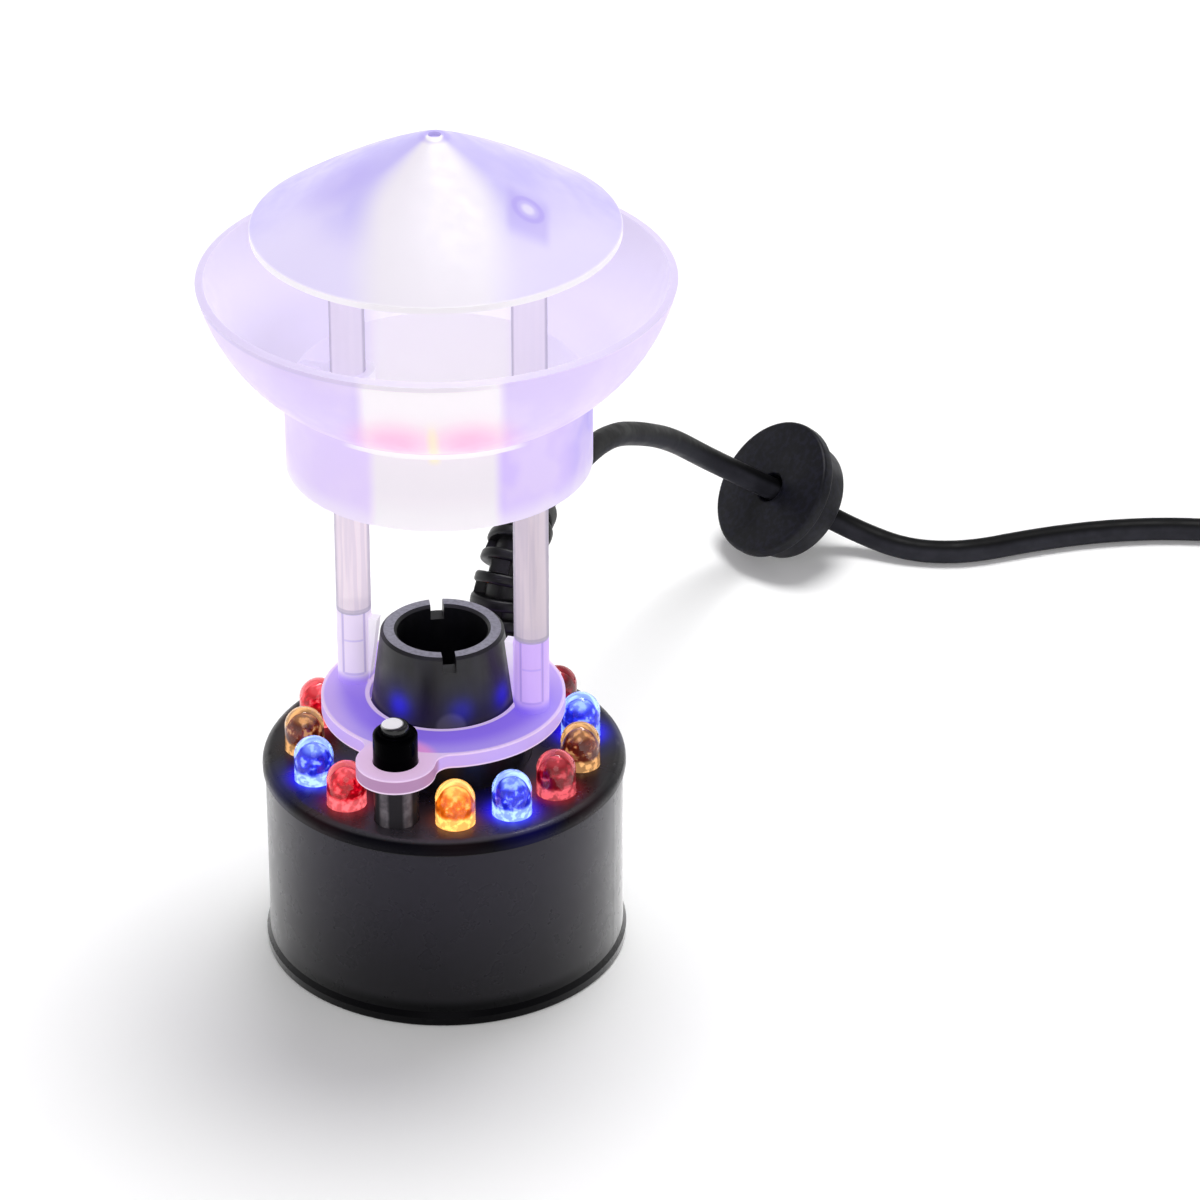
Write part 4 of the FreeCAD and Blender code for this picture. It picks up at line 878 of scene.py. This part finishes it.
blushPlace = addNode(tree, "ShaderNodeCombineXYZ", blushPlace).outputs[0]
blushMiddle = (bowl["blushSide"] * bowl["blushWide"], bowl["blushHeight"] * bowl["blushHigh"], 0)
blush = remap(tree, vectorCalc(tree, "DISTANCE", blushPlace, blushMiddle), *bowl["blush"], 0.8, 0)
spark = both(tree, remap(tree, height, *bowl["sparkTop"], 1, 0),
             remap(tree, height, *bowl["sparkFoot"], 0, 1), remap(tree, apart, *bowl["spark"], 0.64, 0))
nearBand = remap(tree, apart, *bowl["nearBand"], 1, 0)
crease = both(tree, band(tree, height, *bowl["crease"], 0.25), nearBand, 0.7)
arc = both(tree, band(tree, height, *bowl["arc"], 0.25), nearBand, 0.9)
lip = both(tree, band(tree, height, *bowl["lip"], 0.3), remap(tree, side, *bowl["lipRight"], 0.4, 0))
lipTop = remap(tree, facingShare(tree, up), *bowl["lipTurn"], 0, 0.55)
lipTop = both(tree, lipTop, remap(tree, height, *bowl["lipTop"], 0, 1))
insideBand = remap(tree, apart, *bowl["insideBand"], 1, 0)
# painted light and shade: the right side more violet and its edge darker, the pink and yellow light of the
# front lamps, a pink crease with a white line along the arc below it, and painted shade on the lip's upward
# top
colour = layered(
    tree, frosted["throat"],
    (remap(tree, side, *bowl["right"], 0, 1), frosted["throatRight"]),
    (remap(tree, side, *bowl["rightEdge"], 0, 0.8), frosted["capDark"]),
    (flare, frosted["flare"]),
    (remap(tree, noise(tree, 8, 2), 0.4, 0.62, 0, 0.55), frosted["throatLight"]),
    (both(tree, flare, remap(tree, apart, *bowl["farFlare"], 0, 0.6)), frosted["flareFar"]),
    (remap(tree, height, *bowl["foot"], 0.45, 0), frosted["white"]),
    (paleBand, pale),
    (both(tree, blush, flare, front), frosted["pink"]),
    (both(tree, spark, front), frosted["yellow"]),
    (both(tree, crease, front), frosted["junction"]),
    (both(tree, arc, front), frosted["white"]),
    (both(tree, lip, front), frosted["bowlLine"]),
    (inside, blendColour(tree, insideBand, frosted["insideSide"], frosted["insidePale"])),
    (lipTop, frosted["bowlTop"]),
)
outerGlow = calc(tree, "ADD", both(tree, paleBand, 0.04), 0.48)
innerGlow = remap(tree, height, *bowl["insideRise"], 0.48, 0.37)
innerGlow = calc(tree, "ADD", innerGlow, both(tree, insideBand, 0.05))
glowing(tree, surface, colour, 0.62, blendColour(tree, inside, outerGlow, innerGlow))
dress(bowlPlastic, "guard_bowl")

# cap: a pale wedge in front, the posts' tops seen through it, a painted highlight with painted shade round it
# at the small hole at its point, and a painted highlight along its rim
cap = {
    "wedgeTurn": (0.5, 0.88), "wedge": (5.4, 11.0),
    "low": (12, 19), "lowFront": (-2, 9), "rim": (100.65, 100.4),
    "leftPost": (-10.05, -5.35), "leftShade": (1.5, 6.5),
    "rightPost": (13.0, -3.7), "rightRing": (1.5, 1.75), "rightDot": (0.4, 1.1),
    "columnHalf": 1.8, "columnLong": (6.5, 10.5),
    "point": viewFront * 0.7, "pointRing": (0.5, 1.6), "pointDot": (0.85, 1.2), "glow": (3, 16),
}
capPlastic, tree, surface = frostedPlastic("guardCapPlastic")
height, side, ahead = (along(tree, direction) for direction in (up, viewRight, viewFront))
away = awayFromAxis(tree)
turn = calc(tree, "DIVIDE", ahead, calc(tree, "MAXIMUM", away, 0.5))
wedge = remap(tree, calc(tree, "ABSOLUTE", side), *cap["wedge"], 1, 0)
wedge = both(tree, remap(tree, turn, *cap["wedgeTurn"], 0, 1), wedge)
column = band(tree, side, postSide - cap["columnHalf"], postSide + cap["columnHalf"], 1.2)
column = both(tree, column, band(tree, ahead, *cap["columnLong"], 2.5), 0.5)
rim = remap(tree, height, *cap["rim"], 0, 1)
rightPost = distanceFromLine(tree, *cap["rightPost"])
point = distanceFromLine(tree, *cap["point"].xy)
frontLow = both(tree, remap(tree, away, *cap["low"], 0, 1), remap(tree, ahead, *cap["lowFront"], 0, 1))
colour = layered(
    tree, frosted["cap"],
    (remap(tree, noise(tree, 9, 2), 0.4, 0.65, 0, 0.4), frosted["capLow"]),
    (frontLow, frosted["capLow"]),
    (remap(tree, distanceFromLine(tree, *cap["leftPost"]), *cap["leftShade"], 0.4, 0), frosted["capDark"]),
    (wedge, frosted["capPale"]),
    (column, frosted["capDark"]),
    (both(tree, band(tree, rightPost, *cap["rightRing"], 0.4), 0.75), frosted["capDark"]),
    (remap(tree, rightPost, *cap["rightDot"], 0.6, 0), frosted["capPale"]),
    (both(tree, band(tree, away, *cap["pointRing"], 0.7), 0.45), frosted["capDark"]),
    (remap(tree, point, *cap["pointDot"], 1, 0), frosted["white"]),
    (rim, frosted["white"]),
)
glow = calc(tree, "SUBTRACT", remap(tree, away, *cap["glow"], 0.41, 0.44), both(tree, wedge, 0.07))
glowing(tree, surface, colour, 0.5, calc(tree, "ADD", glow, both(tree, rim, 0.1)))
dress(capPlastic, "guard_cap")
print("guard ready")

# plug on the cord's far end
dressPlain({
    "plugPlastic": ((20, 20, 22), 0.45, 0.3, 0.015, 0, "plug_body"),
    "plugNickel": ((200, 198, 192), 0.22, 0.2, 0.005, 1, "plug_barrel"),
    "plugCore": ((225, 222, 212), 0.4, 0.2, 0.005, 0, "plug_insulator"),
})
print("plug ready")
